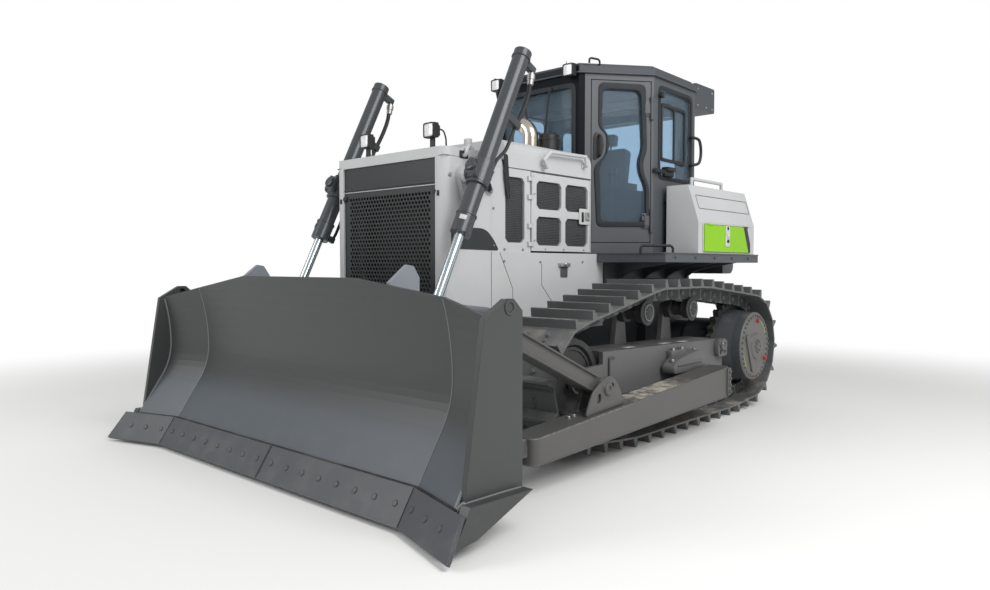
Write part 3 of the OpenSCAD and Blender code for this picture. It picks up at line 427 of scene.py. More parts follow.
drive_paint = paint("drive_enamel", CHARCOAL, dust=0.4, layers=((cover_mask, COVER_GREY),))
drive_paint.coat_nodes("final_drives")
cast_grey = paint("cast_grey", COVER_GREY, dust=0.3, wear=0.4)


def circle(radius, count, start=0.0):
    turns = [math.tau * k / count + start for k in range(count)]
    return [(radius * math.cos(turn), radius * math.sin(turn)) for turn in turns]


def on_left(x, y, z):
    return facing(at(x, y, z), (-1, 0, 0), (0, 0, 1))


def round_places(x, y, z, ring, count, start=0.0):
    """Places in a circle on the machine's left side."""
    return [on_left(x + across, y, z + up) for across, up in circle(ring, count, start)]


def studs(rings, walls, sides):
    """The same round piece on each of the walls."""
    return repeated(turned(rings, Matrix(), sides), walls)


def block(low, high, soften, wall=MACHINE):
    """A block between two corners in millimetres on its wall, with softened edges."""
    low, high = Vector(low) / 1000, Vector(high) / 1000
    bpy.ops.mesh.primitive_cube_add(size=1.0)
    piece = bpy.context.object
    piece.scale = high - low
    bpy.ops.object.transform_apply(location=False, rotation=False, scale=True)
    edges = piece.modifiers.new("softened", "BEVEL")
    edges.width = soften / 1000
    edges.segments = 2
    bpy.ops.object.modifier_apply(modifier="softened")
    piece.matrix_world = wall @ Matrix.Translation((low + high) / 2)
    return joined(piece)


def close(piece):
    """Puts a piece's place into its mesh, merges its doubles and turns its faces outwards."""
    joined(piece)
    bpy.ops.object.mode_set(mode="EDIT")
    bpy.ops.mesh.select_all(action="SELECT")
    bpy.ops.mesh.remove_doubles(threshold=DOUBLES)
    bpy.ops.mesh.normals_make_consistent(inside=False)
    bpy.ops.object.mode_set(mode="OBJECT")
    return piece


def other_side(piece):
    """A copy of a piece for the machine's other side, before either is settled."""
    twin = copied(piece)
    twin.scale.y = -1.0
    return close(twin)


def both(piece, name, finish, body=BODY):
    """Settles a left piece and its right twin as one piece."""
    return settle(joined(piece, other_side(piece)), name, finish, body)


cover_ring = round_places(0, COVER_FACE, AXLE_Z, COVER_BOLT_RING, COVER_BOLTS)
both(bolts(10, 13, cover_ring), "final_drive_cover_bolts", cast_grey)
boss_bolts = bolts(9, 12, round_places(0, BOSS_FACE, AXLE_Z, BOSS_BOLT_RING, BOSS_BOLTS))
boss_cap = turned([(36, 0), (36, 6), (28, 9), (12, 9), (10, 4), (1, 4)], on_left(0, BOSS_FACE, AXLE_Z))
boss_rim = turned([(118, 0), (118, 3), (110, 7), (96, 7), (90, 2)], on_left(0, BOSS_FACE - 11, AXLE_Z), 40)
both(joined(boss_cap, boss_bolts, boss_rim), "final_drive_bosses", cast_grey)


def meshed(curve, wall):
    """Turns a curve into a mesh piece on its wall."""
    shape = bpy.data.objects.new(curve.name, curve)
    bpy.context.collection.objects.link(shape)
    take(shape)
    bpy.ops.object.convert(target="MESH")
    bpy.context.object.matrix_world = wall
    return close(bpy.context.object)


def plate(outlines, thick, wall, soften=0.0):
    """A flat plate on its wall, from an outline and its holes in millimetres."""
    sheet = bpy.data.curves.new("plate", "CURVE")
    sheet.dimensions = "2D"
    sheet.fill_mode = "BOTH"
    sheet.extrude = (thick / 2 - soften) / 1000
    sheet.bevel_depth = soften / 1000
    sheet.bevel_resolution = 1
    sheet.offset = -soften / 1000
    for outline in outlines:
        line = sheet.splines.new("POLY")
        line.points.add(len(outline) - 1)
        for point, place in zip(line.points, outline):
            point.co = (place[0] / 1000, place[1] / 1000, 0.0, 1.0)
        line.use_cyclic_u = True
    return meshed(sheet, wall @ Matrix.Translation((0.0, 0.0, thick / 2000)))


def side_sheet(y):
    """A wall across the machine at y, with x and z along it, whose plates grow towards the middle."""
    return facing(at(0, y, 0), (1, 0, 0), (0, 0, 1))


RIB_TOP = (185.0, 690.0)
RIB_FOOT = (60.0, 385.0)
RIB_WIDE = 34.0
RIB_STEPS = 8
rib_way = (Vector(RIB_FOOT) - Vector(RIB_TOP)).normalized()
rib_side = Vector((-rib_way.y, rib_way.x)) * RIB_WIDE
rib_line = []
for end, way in ((Vector(RIB_TOP), -1), (Vector(RIB_FOOT), 1)):
    for k in range(RIB_STEPS + 1):
        turn = math.pi * (k / RIB_STEPS - 0.5)
        swing = rib_way * math.cos(turn) * RIB_WIDE * way + rib_side * math.sin(turn) * -way
        rib_line.append(end + swing)
both(plate([rib_line], 16, side_sheet(COVER_FACE + 15), 4), "final_drive_ribs", cast_grey)
RED_PLUGS = ((-47.0, 845.0), (-222.0, 462.0))
red = paint("red_plugs", (0.42, 0.012, 0.015), "black_plastic", dust=0.1)
plug_walls = [on_left(x, COVER_FACE - 1, z) for x, z in RED_PLUGS]
red_plugs = studs([(24, 0), (24, 8), (17, 8), (17, 20), (14, 23)], plug_walls, 12)
both(red_plugs, "final_drive_plugs", red)
marking = paint("marking_paint", (0.42, 0.66, 0.03), "lime_paint", rough=0.6, dust=0.1, wear=0.0)
MARK_RING = 266.0
MARK_STEP = 0.105
MARKS = 6
marks = []
for first, step in ((math.radians(122), MARK_STEP), (math.radians(-12), -MARK_STEP)):
    for k in range(MARKS):
        out = Vector((math.cos(first + step * k), 0, math.sin(first + step * k)))
        spot = at(MARK_RING * out.x, COVER_FACE, AXLE_Z + MARK_RING * out.z)
        marks.append(facing(spot, (out.z, 0, -out.x), -out))
mark = block((-11, -4, -1), (11, 4, 1.4), 0.6, Matrix())
both(repeated(mark, marks), "final_drive_marks", marking)

# Track frames: a welded box on each side that carries the rollers, with roller
# guards below, carrier brackets above and the push arm trunnions outside.
# Charcoal steel, bolted and welded, with a cover clamped over each trunnion.
FRAME_FACE = 1197.0
GUARD_FACE = 1185.0
CLAMP_THICK = 46.0
COVER_OUT = 1336.0
FRAME_SLOPE = 0.0214
CORNER_SHARE = 0.45
steel = paint("track_steel", (0.030, 0.031, 0.033), "track_steel", rough=0.5, dust=0.3, wear=0.7, low=1.3,
              worn=(0.30, 0.30, 0.30))
frame_paint = paint("frame_enamel", (0.118, 0.117, 0.118), dust=0.3, low=0.6)
frame_paint.coat_nodes("track_frames")
steel.coat_nodes("sprockets", "idlers", "track_rollers", "carrier_rollers")


def clouded(name, slot, scale, tones, rough, grain=None, spread=0.0, detail=3.0, fine=3.0, **constant):
    """A plain material in clouds of two tones, whose roughness varies where it has a grain."""
    finish = Finish(name, slot, Roughness=rough, **constant)
    finish.set("Base Color", finish.mix(finish.noise(scale, detail), *tones))
    if grain:
        finish.set("Roughness", rough + finish.noise(grain, fine) * spread)
    return finish


zinc_tones = ((0.30, 0.30, 0.30), (0.55, 0.54, 0.52))
zinc = clouded("zinc_fasteners", "stainless", 35.0, zinc_tones, 0.3, 50.0, 0.25, Metallic=0.9)


def softened(points, reach, closed=True, steps=4):
    """An outline or a route with its corners rounded off, by up to reach along each side."""
    points = [Vector(p) for p in points]
    line = []
    for i, corner in enumerate(points):
        if not closed and i in (0, len(points) - 1):
            line.append(corner)
            continue
        before = points[i - 1] - corner
        after = points[(i + 1) % len(points)] - corner
        cut = min(reach, before.length * CORNER_SHARE, after.length * CORNER_SHARE)
        first = corner + before.normalized() * cut
        last = corner + after.normalized() * cut
        for k in range(steps + 1):
            t = k / steps
            line.append(first * (1 - t) ** 2 + corner * (2 * t * (1 - t)) + last * t ** 2)
    return line


def oblong(x0, x1, z0, z1, reach):
    return softened([(x0, z0), (x1, z0), (x1, z1), (x0, z1)], reach)


def disc_line(x, z, radius, count=16):
    return [(x + across, z + up) for across, up in circle(radius, count)]


def tube(points, radius, bend=0.0, wall=MACHINE):
    """A bar or hose along a route in millimetres: bent at its corners, or flowing where bend is nought."""
    path = bpy.data.curves.new("tube", "CURVE")
    path.dimensions = "3D"
    path.bevel_depth = radius / 1000
    path.bevel_resolution = 2
    path.resolution_u = 5
    path.use_fill_caps = True
    route = [Vector(p) / 1000 for p in (softened(points, bend, False) if bend else points)]
    line = path.splines.new("POLY" if bend else "BEZIER")
    spots = line.points if bend else line.bezier_points
    spots.add(len(route) - 1)
    for spot, place in zip(spots, route):
        if bend:
            spot.co = (*place, 1.0)
        else:
            spot.co = place
            spot.handle_left_type = "AUTO"
            spot.handle_right_type = "AUTO"
    return meshed(path, wall)


pipe_y = FRAME_FACE + 9
pipe = [(2338, pipe_y, 694), (2404, pipe_y, 694), (2404, pipe_y, 540), (2412, FRAME_FACE - 2, 524)]
both(tube(pipe, 8, 16), "frame_front_pipes", charcoal)
clamp_line = softened([(470, 545), (655, 545), (668, 640), (640, 706), (560, 716), (486, 690)], 40)
clamp_holes = [disc_line(520, 590, 20), disc_line(610, 585, 20)]
clamp = plate([clamp_line, *clamp_holes], CLAMP_THICK, side_sheet(FRAME_FACE + CLAMP_THICK), 5)
clamp_rings = [(58, 0), (58, 60), (50, 68), (28, 68), (24, 58), (1, 58)]
clamp_boss = turned(clamp_rings, on_left(575, FRAME_FACE, 655))
both(joined(clamp, clamp_boss), "frame_rear_clamps", frame_paint)
clamp_spots = ((520, -6, 590), (610, -6, 585), (640, CLAMP_THICK, 672))
clamp_heads = [on_left(x, FRAME_FACE + deep, z) for x, deep, z in clamp_spots]
both(bolts(13, 34, clamp_heads), "frame_clamp_bolts", zinc)
cover_line = [(1090, 522), (1120, 640), (1230, 668), (1560, 622), (1660, 560), (1650, 500), (1250, 500)]
cover = plate([softened(cover_line, 30)], 118, side_sheet(COVER_OUT), 10)
cover_lip = block((1270, 1198, 616), (1540, 1250, 676), 8)
cover_strip = block((1180, 1300, 560), (1600, 1344, 584), 5)
both(joined(cover, cover_lip, cover_strip), "trunnion_covers", frame_paint)
cover_spots = ((1200, 1270, 655), (1330, 1225, 675), (1480, 1225, 675), (1590, 1280, 598))
both(bolts(17, 20, [on_top(*spot) for spot in cover_spots]), "trunnion_cover_bolts", zinc)
guard_heads = [on_left(500 + k * 182, GUARD_FACE, 300 if k % 2 else 372) for k in range(10)]
both(bolts(14, 16, guard_heads), "roller_guard_bolts", frame_paint)
bare_plate = paint("bare_plate", (0.55, 0.56, 0.56), "grey_paint", rough=0.35, dust=0.3, wear=0.0)
plate_spots = ((1975, 1105, 733), (1420, 1110, 722), (1120, 1120, 716))
plate_walls = [facing(at(*spot), (1, 0, FRAME_SLOPE), (0, 1, 0)) for spot in plate_spots]
spot_plate = plate([oblong(-70, 70, -26, 26, 8)], 3, Matrix(), 0.8)
both(repeated(spot_plate, plate_walls), "frame_plates", bare_plate)

# Carrier rollers and idlers: steel wheels on shafts, each closed by an end cover with a raised ring
# and a circle of small bolts, so that its oil stays in. Dark oiled steel, bright where the links run.
CARRIER_XS = (1010.0, 1770.0)
CARRIER_Z = 1000.0
CARRIER_FACE = 1159.0
IDLER_X = 2780.0
IDLER_Z = 555.0
bright_rim = paint("bright_rim", (0.135, 0.139, 0.143), "track_steel", rough=0.35, dust=0.1, wear=0.5)
carrier_rings = [(72, -4), (72, 5), (66, 8), (58, 8), (54, 2), (34, 2), (30, 9), (20, 11), (1, 11)]
carrier_walls = [on_left(x, CARRIER_FACE, CARRIER_Z) for x in CARRIER_XS]
both(studs(carrier_rings, carrier_walls, 28), "carrier_end_covers", steel)
carrier_rims = []
carrier_heads = []
for x in CARRIER_XS:
    rim_lines = [disc_line(x, CARRIER_Z, radius, 32) for radius in (71, 60)]
    carrier_rims.append(plate(rim_lines, 4, side_sheet(CARRIER_FACE + 11), 1))
    carrier_heads += round_places(x, CARRIER_FACE + 2, CARRIER_Z, 44, 8, 0.2)
both(joined(*carrier_rims), "carrier_rims", bright_rim)
both(bolts(5, 7, carrier_heads), "carrier_cover_bolts", bright_rim)
hub_rings = [(66, 0), (66, 8), (58, 14), (40, 14), (36, 6), (1, 6)]
idler_hub = turned(hub_rings, on_left(IDLER_X, 1196, IDLER_Z), 28)
idler_rings = [(248, 0), (248, 8), (240, 12), (226, 12), (222, 2)]
idler_ring = turned(idler_rings, on_left(IDLER_X, 1118, IDLER_Z), 48)
both(joined(idler_hub, idler_ring), "idler_covers", steel)
both(bolts(8, 12, round_places(IDLER_X, 1204, IDLER_Z, 50, 6)), "idler_cover_bolts", zinc)

# Tracks: forged links that overlap end to end on pins and bushings, with a
# rolled shoe and its grouser bolted to each pair of links. The shoes are the
# CAD's; the links, pins, bushings and shoe bolts are laid along the same belt.
TRACK_Y = 1025.0
SHOE_COUNT = 40
PITCH = 203.8
LINK_SPREAD = 170.0
LINK_HALF = 25.0
SHOE_FACE = 60.0
ROLLER_XS = (420.0, 2180.0)
ROLLER_Z = 280.0
ROLLER_R = 155.0
IDLER_R = 375.0
CARRIER_R = 145.0
SPROCKET_R = 440.559
BELT = [Vector((x, ROLLER_Z, ROLLER_R)) for x in ROLLER_XS] + [Vector((IDLER_X, IDLER_Z, IDLER_R))]
BELT += [Vector((x, CARRIER_Z, CARRIER_R)) for x in reversed(CARRIER_XS)]
BELT.append(Vector((0.0, AXLE_Z, SPROCKET_R)))


def belt_pins():
    """The places of the pins, one pitch apart along the belt round rollers, idler, carriers and sprocket."""
    normals = []
    for i, wheel in enumerate(BELT):
        following = BELT[(i + 1) % len(BELT)]
        run = (following - wheel).xy
        normals.append(math.atan2(run.y, run.x) - math.acos((wheel.z - following.z) / run.length))
    stretches = []
    for i, normal in enumerate(normals):
        wheel, following = BELT[i], BELT[(i + 1) % len(BELT)]
        aim = Vector((math.cos(normal), math.sin(normal)))
        start, end = wheel.xy + aim * wheel.z, following.xy + aim * following.z
        sweep = (normals[(i + 1) % len(BELT)] - normal) % math.tau
        stretches.append((start, end, following, normal, sweep))
    total = sum((end - start).length + wheel.z * sweep for start, end, wheel, normal, sweep in stretches)
    pins = []
    for k in range(SHOE_COUNT):
        left = (k + 0.5) * total / SHOE_COUNT
        for start, end, wheel, normal, sweep in stretches:
            line = (end - start).length
            if left <= line:
                pins.append(start + (end - start) * (left / line))
                break
            if left <= line + wheel.z * sweep:
                turn = normal + (left - line) / wheel.z
                pins.append(wheel.xy + Vector((math.cos(turn), math.sin(turn))) * wheel.z)
                break
            left -= line + wheel.z * sweep
    return pins


pins = belt_pins()


def link_spot(k, along, out):
    """A spot by link k, along it from its pin and out of the loop, with the ways along and out."""
    way = (pins[(k + 1) % SHOE_COUNT] - pins[k]).normalized()
    away = Vector((way.y, -way.x))
    return pins[k] + way * along + away * out, (way.x, 0, way.y), (away.x, 0, away.y)


def on_link(k, y):
    """A wall at the pin of link k, along the link and out of the loop."""
    spot, way, away = link_spot(k, 0, 0)
    return facing(at(spot.x, y, spot.y), way, away)


def on_shoe(k, along, y):
    """A wall on the outer face of shoe k."""
    spot, way, away = link_spot(k, along, SHOE_FACE)
    return facing(at(spot.x, y, spot.y), way, (0, -1, 0))


rim_steel = paint("rim_steel", (0.088, 0.090, 0.093), "track_steel", rough=0.4, dust=0.15, wear=0.9,
                  rounded=0.004, worn=(0.42, 0.42, 0.42))
shoe_steel = paint("shoe_steel", (0.105, 0.109, 0.111), "track_steel", rough=0.45, dust=0.75, wear=0.7,
                   low=0.12, worn=(0.34, 0.34, 0.34))
shoe_steel.coat_nodes("track_left", "track_right")
RAILS = (TRACK_Y + LINK_SPREAD / 2, TRACK_Y - LINK_SPREAD / 2)
near_end = [(-46, -36), (-46, 38), (20, 44), (122, 44), (122, -53), (24, -53)]
far_end = [(84, -53), (84, 44), (PITCH - 24, 44), (PITCH + 44, 34), (PITCH + 44, -38), (PITCH - 20, -53)]
near_half = plate([softened(near_end, 24, steps=2)], LINK_HALF, Matrix())
inward = Matrix.Translation((0, 0, -LINK_HALF / 1000))
far_half = plate([softened(far_end, 24, steps=2)], LINK_HALF, inward)
links = [on_link(k, rail) for rail in RAILS for k in range(SHOE_COUNT)]
both(repeated(joined(near_half, far_half), links), "track_links", steel)
PIN_HALF = LINK_SPREAD / 2 + LINK_HALF + 3
BUSH_HALF = 60.0
half_pin = [(33, BUSH_HALF), (22, BUSH_HALF), (22, PIN_HALF - 3), (19, PIN_HALF)]
track_pin = [(radius, -reach) for radius, reach in reversed(half_pin)] + half_pin
pin_walls = [on_link(k, TRACK_Y) for k in range(SHOE_COUNT)]
both(studs(track_pin, pin_walls, 12), "track_pins", rim_steel)
shoe_heads = [on_shoe(k, along, y) for k in range(SHOE_COUNT) for along in (96, 152) for y in RAILS]
both(bolts(15, 17, shoe_heads), "shoe_bolts", rim_steel)

# Radiator guard and front: a heavy pale grey box around the radiator, with the
# sign panel left bare above a bolted perforated sheet. The guard carries the
# lift cylinders' pads, a lifting hook on each side and a bare strip plate.
PALE_GREY = (0.515, 0.525, 0.53)
SHEET_FACE = 3516.0
SHEET_THICK = 26.0
SHEET_SKIN = 6.0
SHEET_BAND = 40.0
SHEET_HALF = 568.0
SHEET_LOW = 864.0
SHEET_HIGH = 1941.0
HOLE_PITCH = 34.0
HOLE_R = 12.6
HOLE_COLUMNS = 27
HOLE_ROWS = 33
HOLE_LOW = 930.0
ROW_PITCH = HOLE_PITCH * math.sin(math.radians(60))
GUARD_SIDE = 610.0
pale = paint("pale_grey_enamel", PALE_GREY, "grey_paint", rough=0.36, dust=0.12, wear=0.12)
pale.coat_nodes("radiator_guard")
sign_dark = paint("sign_enamel", (0.019, 0.024, 0.025), "black_paint", rough=0.34, dust=0.1)
sign_dark.coat_nodes("sign_panel")
black_parts = black.filling("black_plastic")


def on_front(x, y, z):
    return facing(at(x, y, z), (0, 1, 0), (0, 0, 1))


sheet_edge = [(-SHEET_HALF, SHEET_LOW), (SHEET_HALF, SHEET_LOW), (SHEET_HALF, SHEET_HIGH),
              (-SHEET_HALF, SHEET_HIGH)]
sheet_lines = [sheet_edge]
for i in range(HOLE_ROWS):
    for j in range(HOLE_COLUMNS - i % 2):
        hole_y = (j + 0.5 + 0.5 * (i % 2) - HOLE_COLUMNS / 2) * HOLE_PITCH
        sheet_lines.append(disc_line(hole_y, HOLE_LOW + (i + 0.5) * ROW_PITCH, HOLE_R, 8))
front_sheet = plate(sheet_lines, SHEET_SKIN, on_front(SHEET_FACE - SHEET_SKIN, 0, 0))
inner_half = SHEET_HALF - SHEET_BAND
opening = oblong(-inner_half, inner_half, SHEET_LOW + SHEET_BAND, SHEET_HIGH - SHEET_BAND, 10)
frame_wall = on_front(SHEET_FACE - SHEET_THICK, 0, 0)
sheet_frame = plate([sheet_edge, opening], SHEET_THICK - SHEET_SKIN, frame_wall)
grille = settle(joined(front_sheet, sheet_frame), "front_grille", sign_dark)
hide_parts("grille")
knob_walls = [on_front(SHEET_FACE, y, z) for y in (-506, 506) for z in (SHEET_LOW + 44, SHEET_HIGH - 44)]
settle(studs([(22, 0), (22, 10), (16, 16), (8, 17)], knob_walls, 16), "front_grille_knobs", black_parts)
trim = block((SHEET_FACE - 4, -SHEET_HALF, SHEET_HIGH - 1), (SHEET_FACE + 5, SHEET_HALF, SHEET_HIGH + 6), 2)
settle(trim, "front_trim_strip", pale)


def rim(x0, x1, z0, z1, reach, band, inner_reach):
    """The outlines of a frame: an oblong, and its opening a band further in."""
    return [oblong(x0, x1, z0, z1, reach), oblong(x0 + band, x1 - band, z0 + band, z1 - band, inner_reach)]


sign_rim = plate(rim(-556, 556, 1956, 2146, 14, 16, 8), 6, on_front(SHEET_FACE, 0, 0), 2)
settle(sign_rim, "sign_panel_rim", sign_dark)
latch_base = block((SHEET_FACE, 528, 1850), (SHEET_FACE + 10, 562, 1920), 3)
latch_hook = block((SHEET_FACE + 8, 536, 1862), (SHEET_FACE + 22, 556, 1900), 4)
both(joined(latch_base, latch_hook), "front_latches", black_parts)
strip_line = [(3468, 1655), (3150, 1649), (3095, 1628), (3035, 1572), (2976, 1493), (3468, 1500)]
strip_plate = plate([softened(strip_line, 30)], 5, side_sheet(GUARD_SIDE + 5), 1.2)
both(strip_plate, "guard_strip_plates", sign_dark)
# A flat black sheet where each hook enters the guard is painted shade standing for the hook's pocket.
pocket_shade = plate([oblong(3300, 3388, 2128, 2182, 12)], 3, side_sheet(GUARD_SIDE + 2.5), 0.8)
both(pocket_shade, "guard_hook_painted_shades", black)
hook_route = [(3345, 600, 2150), (3345, 632, 2150), (3330, 632, 2205), (3262, 600, 2230), (3262, 560, 2230),
              (3262, 560, 2196)]
hook_foot = block((3212, 520, 2198), (3300, 592, 2226), 8)
hook_tab = block((3226, 528, 2222), (3262, 584, 2284), 8)
both(joined(tube(hook_route, 15, 24), hook_foot, hook_tab), "guard_lifting_hooks", pale)
guard_screw = turned([(16, 0), (16, 4), (9, 6), (8, 2), (1, 2)], on_left(3479, GUARD_SIDE - 3, 2007), 12)
both(guard_screw, "guard_screws", zinc)
cap_seam = tube([(3528.4, 545, 2137), (3528.4, 608.4, 2137), (3066, 608.4, 2137)], 2.6, 58)
both(cap_seam, "guard_cap_seams", frame_paint)

# Hood and side panels: bent sheet over the engine, bolted down, with a fixed
# mesh window beside each engine door and a lower panel that has a diagonal
# seam and a bright catch. Pale grey enamel; the mesh is grey woven wire, with a
# dark sheet behind it as painted shade for the engine bay.
MESH_PITCH = 13.0
MESH_WIRE = 3.0
MESH_Y = 590.0
BACK_Y = 583.0
BACK_THICK = 5.0
PANEL_FACE = 618.0
HOOD_SEAM_Z = 2113.0
pale.coat_nodes("hood_top", "cowl", "side_panels", "handrails")
wire = paint("grey_wire", (0.125, 0.130, 0.135), "black_paint", rough=0.42, dust=0.1)
bay_shade = paint("mesh_painted_shade", (0.030, 0.031, 0.033), "black_paint", rough=0.9, dust=0.05)


def ranked(piece, count, step):
    """Repeats a piece along one line with an array."""
    row = piece.modifiers.new("row", "ARRAY")
    row.count = count
    row.use_relative_offset = False
    row.use_constant_offset = True
    row.constant_offset_displace = Vector(step) / 1000
    take(piece)
    bpy.ops.object.modifier_apply(modifier="row")
    return piece


def wire_mesh(x0, x1, z0, z1):
    """Woven wire across one window."""
    over = MESH_Y + 2
    upright = block((x0, MESH_Y, z0), (x0 + MESH_WIRE, MESH_Y + MESH_WIRE, z1), 0.4)
    level = block((x0, over, z0), (x1, over + MESH_WIRE, z0 + MESH_WIRE), 0.4)
    ranked(upright, int((x1 - x0) / MESH_PITCH), (MESH_PITCH, 0, 0))
    ranked(level, int((z1 - z0) / MESH_PITCH), (0, 0, MESH_PITCH))
    return joined(upright, level)


def dark_sheet_behind(x0, x1, z0, z1):
    """A dark sheet behind one window: painted shade standing for the dark engine bay."""
    return block((x0, BACK_Y, z0), (x1, BACK_Y + BACK_THICK, z1), 1.5)


both(wire_mesh(2676, 2907, 1552, 2051), "front_window_mesh", wire)
both(dark_sheet_behind(2672, 2911, 1548, 2055), "front_window_backing", bay_shade)
panel_spots = [(2925, 1415), (2495, 1410), (1929, 1412), (1644, 1429)]
guard_spots = [(2914, 1504), (2700, 1504), (3036, 1530), (3036, 1800), (3036, 2060)]
panel_heads = [on_left(x, PANEL_FACE, z) for x, z in panel_spots]
panel_heads += [on_left(x, GUARD_SIDE, z) for x, z in guard_spots]
both(bolts(8, 10, panel_heads), "side_panel_bolts", zinc)
seams = []
for seam_line in ([(2974, 1480), (2827, 1207), (2827, 880)], [(2478, 1396), (2478, 1230), (2330, 1080)]):
    seams.append(tube([(x, PANEL_FACE, z) for x, z in seam_line], 2.2, 10))
both(joined(*seams), "side_panel_seams", sign_dark)
catch_top = block((2126, PANEL_FACE - 1, 1372), (2262, PANEL_FACE + 26, 1402), 5)
catch_knob = turned([(16, 0), (16, 10), (11, 14)], on_left(2195, PANEL_FACE + 25, 1392), 14)
both(joined(catch_top, catch_knob), "side_panel_catches", zinc)
catch_tongue = plate([oblong(2140, 2234, 1286, 1374, 12)], 4, side_sheet(PANEL_FACE + 4), 1)
both(catch_tongue, "side_panel_tongues", charcoal)
stay_line = [(2898, 2205), (2938, 2205), (2934, 2040), (2906, 1888), (2882, 1872), (2866, 1888), (2884, 2040)]
stay_lines = [softened(stay_line, 18), disc_line(2886, 1896, 9, 12)]
stay = plate(stay_lines, 8, side_sheet(GUARD_SIDE + 22), 1.5)
stay_foot = block((2888, GUARD_SIDE - 12, 2130), (2934, GUARD_SIDE + 16, 2166), 4)
both(joined(stay, stay_foot), "hood_stays", black)
hood_seam = tube([(x, GUARD_SIDE + 2, HOOD_SEAM_Z) for x in (2900, 2400, 1800)], 2.4, 5)
both(hood_seam, "hood_seams", sign_dark)
foot_walls = [on_left(2455, GUARD_SIDE, 2152), on_left(1915, GUARD_SIDE, 2215)]
both(studs([(26, 0), (26, 6), (18, 9)], foot_walls, 16), "hood_rail_feet", pale)
filler_rings = [(70, -4), (70, 10), (58, 14), (58, 36), (50, 44), (1, 46)]
settle(turned(filler_rings, on_top(2620, -330, 2330), 28), "hood_filler_cap", black_parts)

# Engine doors: one on each side, hung on two hinges at the front edge, with
# four wire mesh windows in a pressed frame and a paddle latch at the rear. Pale
# grey sheet; each door carries its mesh, latch and bolts along when it swings.
WINDOW_XS = ((1841, 2157), (2212, 2533))
WINDOW_ZS = ((1541, 1766), (1825, 2043))
MESH_LAP = 4
BACK_LAP = 8


def on_each(piece, stem, word, finish):
    """Settles a left piece on its left body, and its twin on the right one."""
    for side, sided in (("right", other_side(piece)), ("left", piece)):
        settle(sided, f"{stem}_{side}_{word}", finish, f"{stem}_{side}")


pale.coat_nodes("engine_door_left", "engine_door_right")
meshes = []
# Behind each door window, a dark sheet is painted shade standing for the engine bay.
shaded_windows = []
for x0, x1 in WINDOW_XS:
    for z0, z1 in WINDOW_ZS:
        meshes.append(wire_mesh(x0 - MESH_LAP, x1 + MESH_LAP, z0 - MESH_LAP, z1 + MESH_LAP))
        shaded_windows.append(dark_sheet_behind(x0 - BACK_LAP, x1 + BACK_LAP, z0 - BACK_LAP, z1 + BACK_LAP))
on_each(joined(*meshes), "engine_door", "mesh", wire)
on_each(joined(*shaded_windows), "engine_door", "backing", bay_shade)
latch_plate = plate([oblong(1811, 1970, 1726, 1858, 14)], 7, side_sheet(GUARD_SIDE + 7), 2)
on_each(latch_plate, "engine_door", "latch_plate", pale)
latch_slot = plate([oblong(1908, 1940, 1746, 1830, 8)], 3, side_sheet(GUARD_SIDE + 9), 0.8)
on_each(latch_slot, "engine_door", "latch_slot", black_parts)
paddle = block((1832, GUARD_SIDE + 6, 1758), (1894, GUARD_SIDE + 14, 1830), 4)
paddle_lock = turned([(13, 0), (13, 5), (8, 7), (4, 4)], on_left(1862, GUARD_SIDE + 13, 1780), 14)
on_each(joined(paddle, paddle_lock), "engine_door", "latch_paddle", zinc)
door_heads = [on_left(2580, GUARD_SIDE, z) for z in (1532, 1700, 1990, 2070)]
door_heads += [on_left(x, GUARD_SIDE, 1512) for x in (1900, 2180, 2420)]
on_each(bolts(6, 7, door_heads), "engine_door", "bolts", zinc)

# Exhaust, precleaner and work lamps: a bent stainless stack with a clamp at its
# foot, a black plastic bowl that spins dust out of the air, and square lamps
# with white lenses on short stalks, wired back into the hood and the cab.
STACK = (2070, 170)
LAMP_SPOTS = ((3440.0, 362.0, 2342.0), (1864.0, 415.0, 3058.0))
FINS = 6
FIN_PITCH = 15.0
pipe_tones = ((0.52, 0.44, 0.34), (0.80, 0.75, 0.68))
stainless = clouded("stainless_pipe", "stainless", 7.0, pipe_tones, 0.16, 30.0, 0.14, detail=4.0,
                    Metallic=1.0)
stainless.coat_nodes("exhaust")
clamp_ring = turned([(66, 0), (78, 4), (78, 22), (66, 26)], on_top(*STACK, 2345), 32)
stack_flange = turned([(96, -3), (96, 8), (84, 12), (66, 12)], on_top(*STACK, 2330), 32)
settle(joined(clamp_ring, stack_flange), "exhaust_clamp", zinc)
bowl_plastic = paint("bowl_plastic", (0.016, 0.016, 0.017), "black_plastic", rough=0.38, dust=0.25, wear=0.1)
bowl_plastic.coat_nodes("precleaner")
band_rings = [(92, 0), (95, 2), (95, 12), (92, 14), (92, 76), (95, 78), (95, 88), (92, 90)]
settle(turned(band_rings, on_top(1902, 239, 2386), 36), "precleaner_bands", bowl_plastic)
lamp_plastic = paint("lamp_housing", (0.014, 0.014, 0.015), "black_plastic", rough=0.45, dust=0.1)
lamp_plastic.coat_nodes("lamps")
lens = Finish("lamp_lens", "lamp_lens", Roughness=0.12, Coat_Weight=0.6)
lens_cells = lens.add("TexVoronoi", None, {"Vector": lens.where, "Scale": 55.0}, out="Distance")
lens.set("Base Color", lens.mix(lens_cells, (0.92, 0.93, 0.94), (0.62, 0.64, 0.66)))
lens.bump(lens_cells, 0.3, 0.002)
lens_plate = plate([oblong(-45, 45, -45, 45, 16)], 7, Matrix(), 2.5)
both(repeated(lens_plate, [on_front(*spot) for spot in LAMP_SPOTS]), "lamp_lenses", lens)
lamp_rim = plate(rim(-53, 53, -53, 53, 18, 9, 14), 12, Matrix(), 2)
housings = [repeated(lamp_rim, [on_front(x - 1, y, z) for x, y, z in LAMP_SPOTS])]
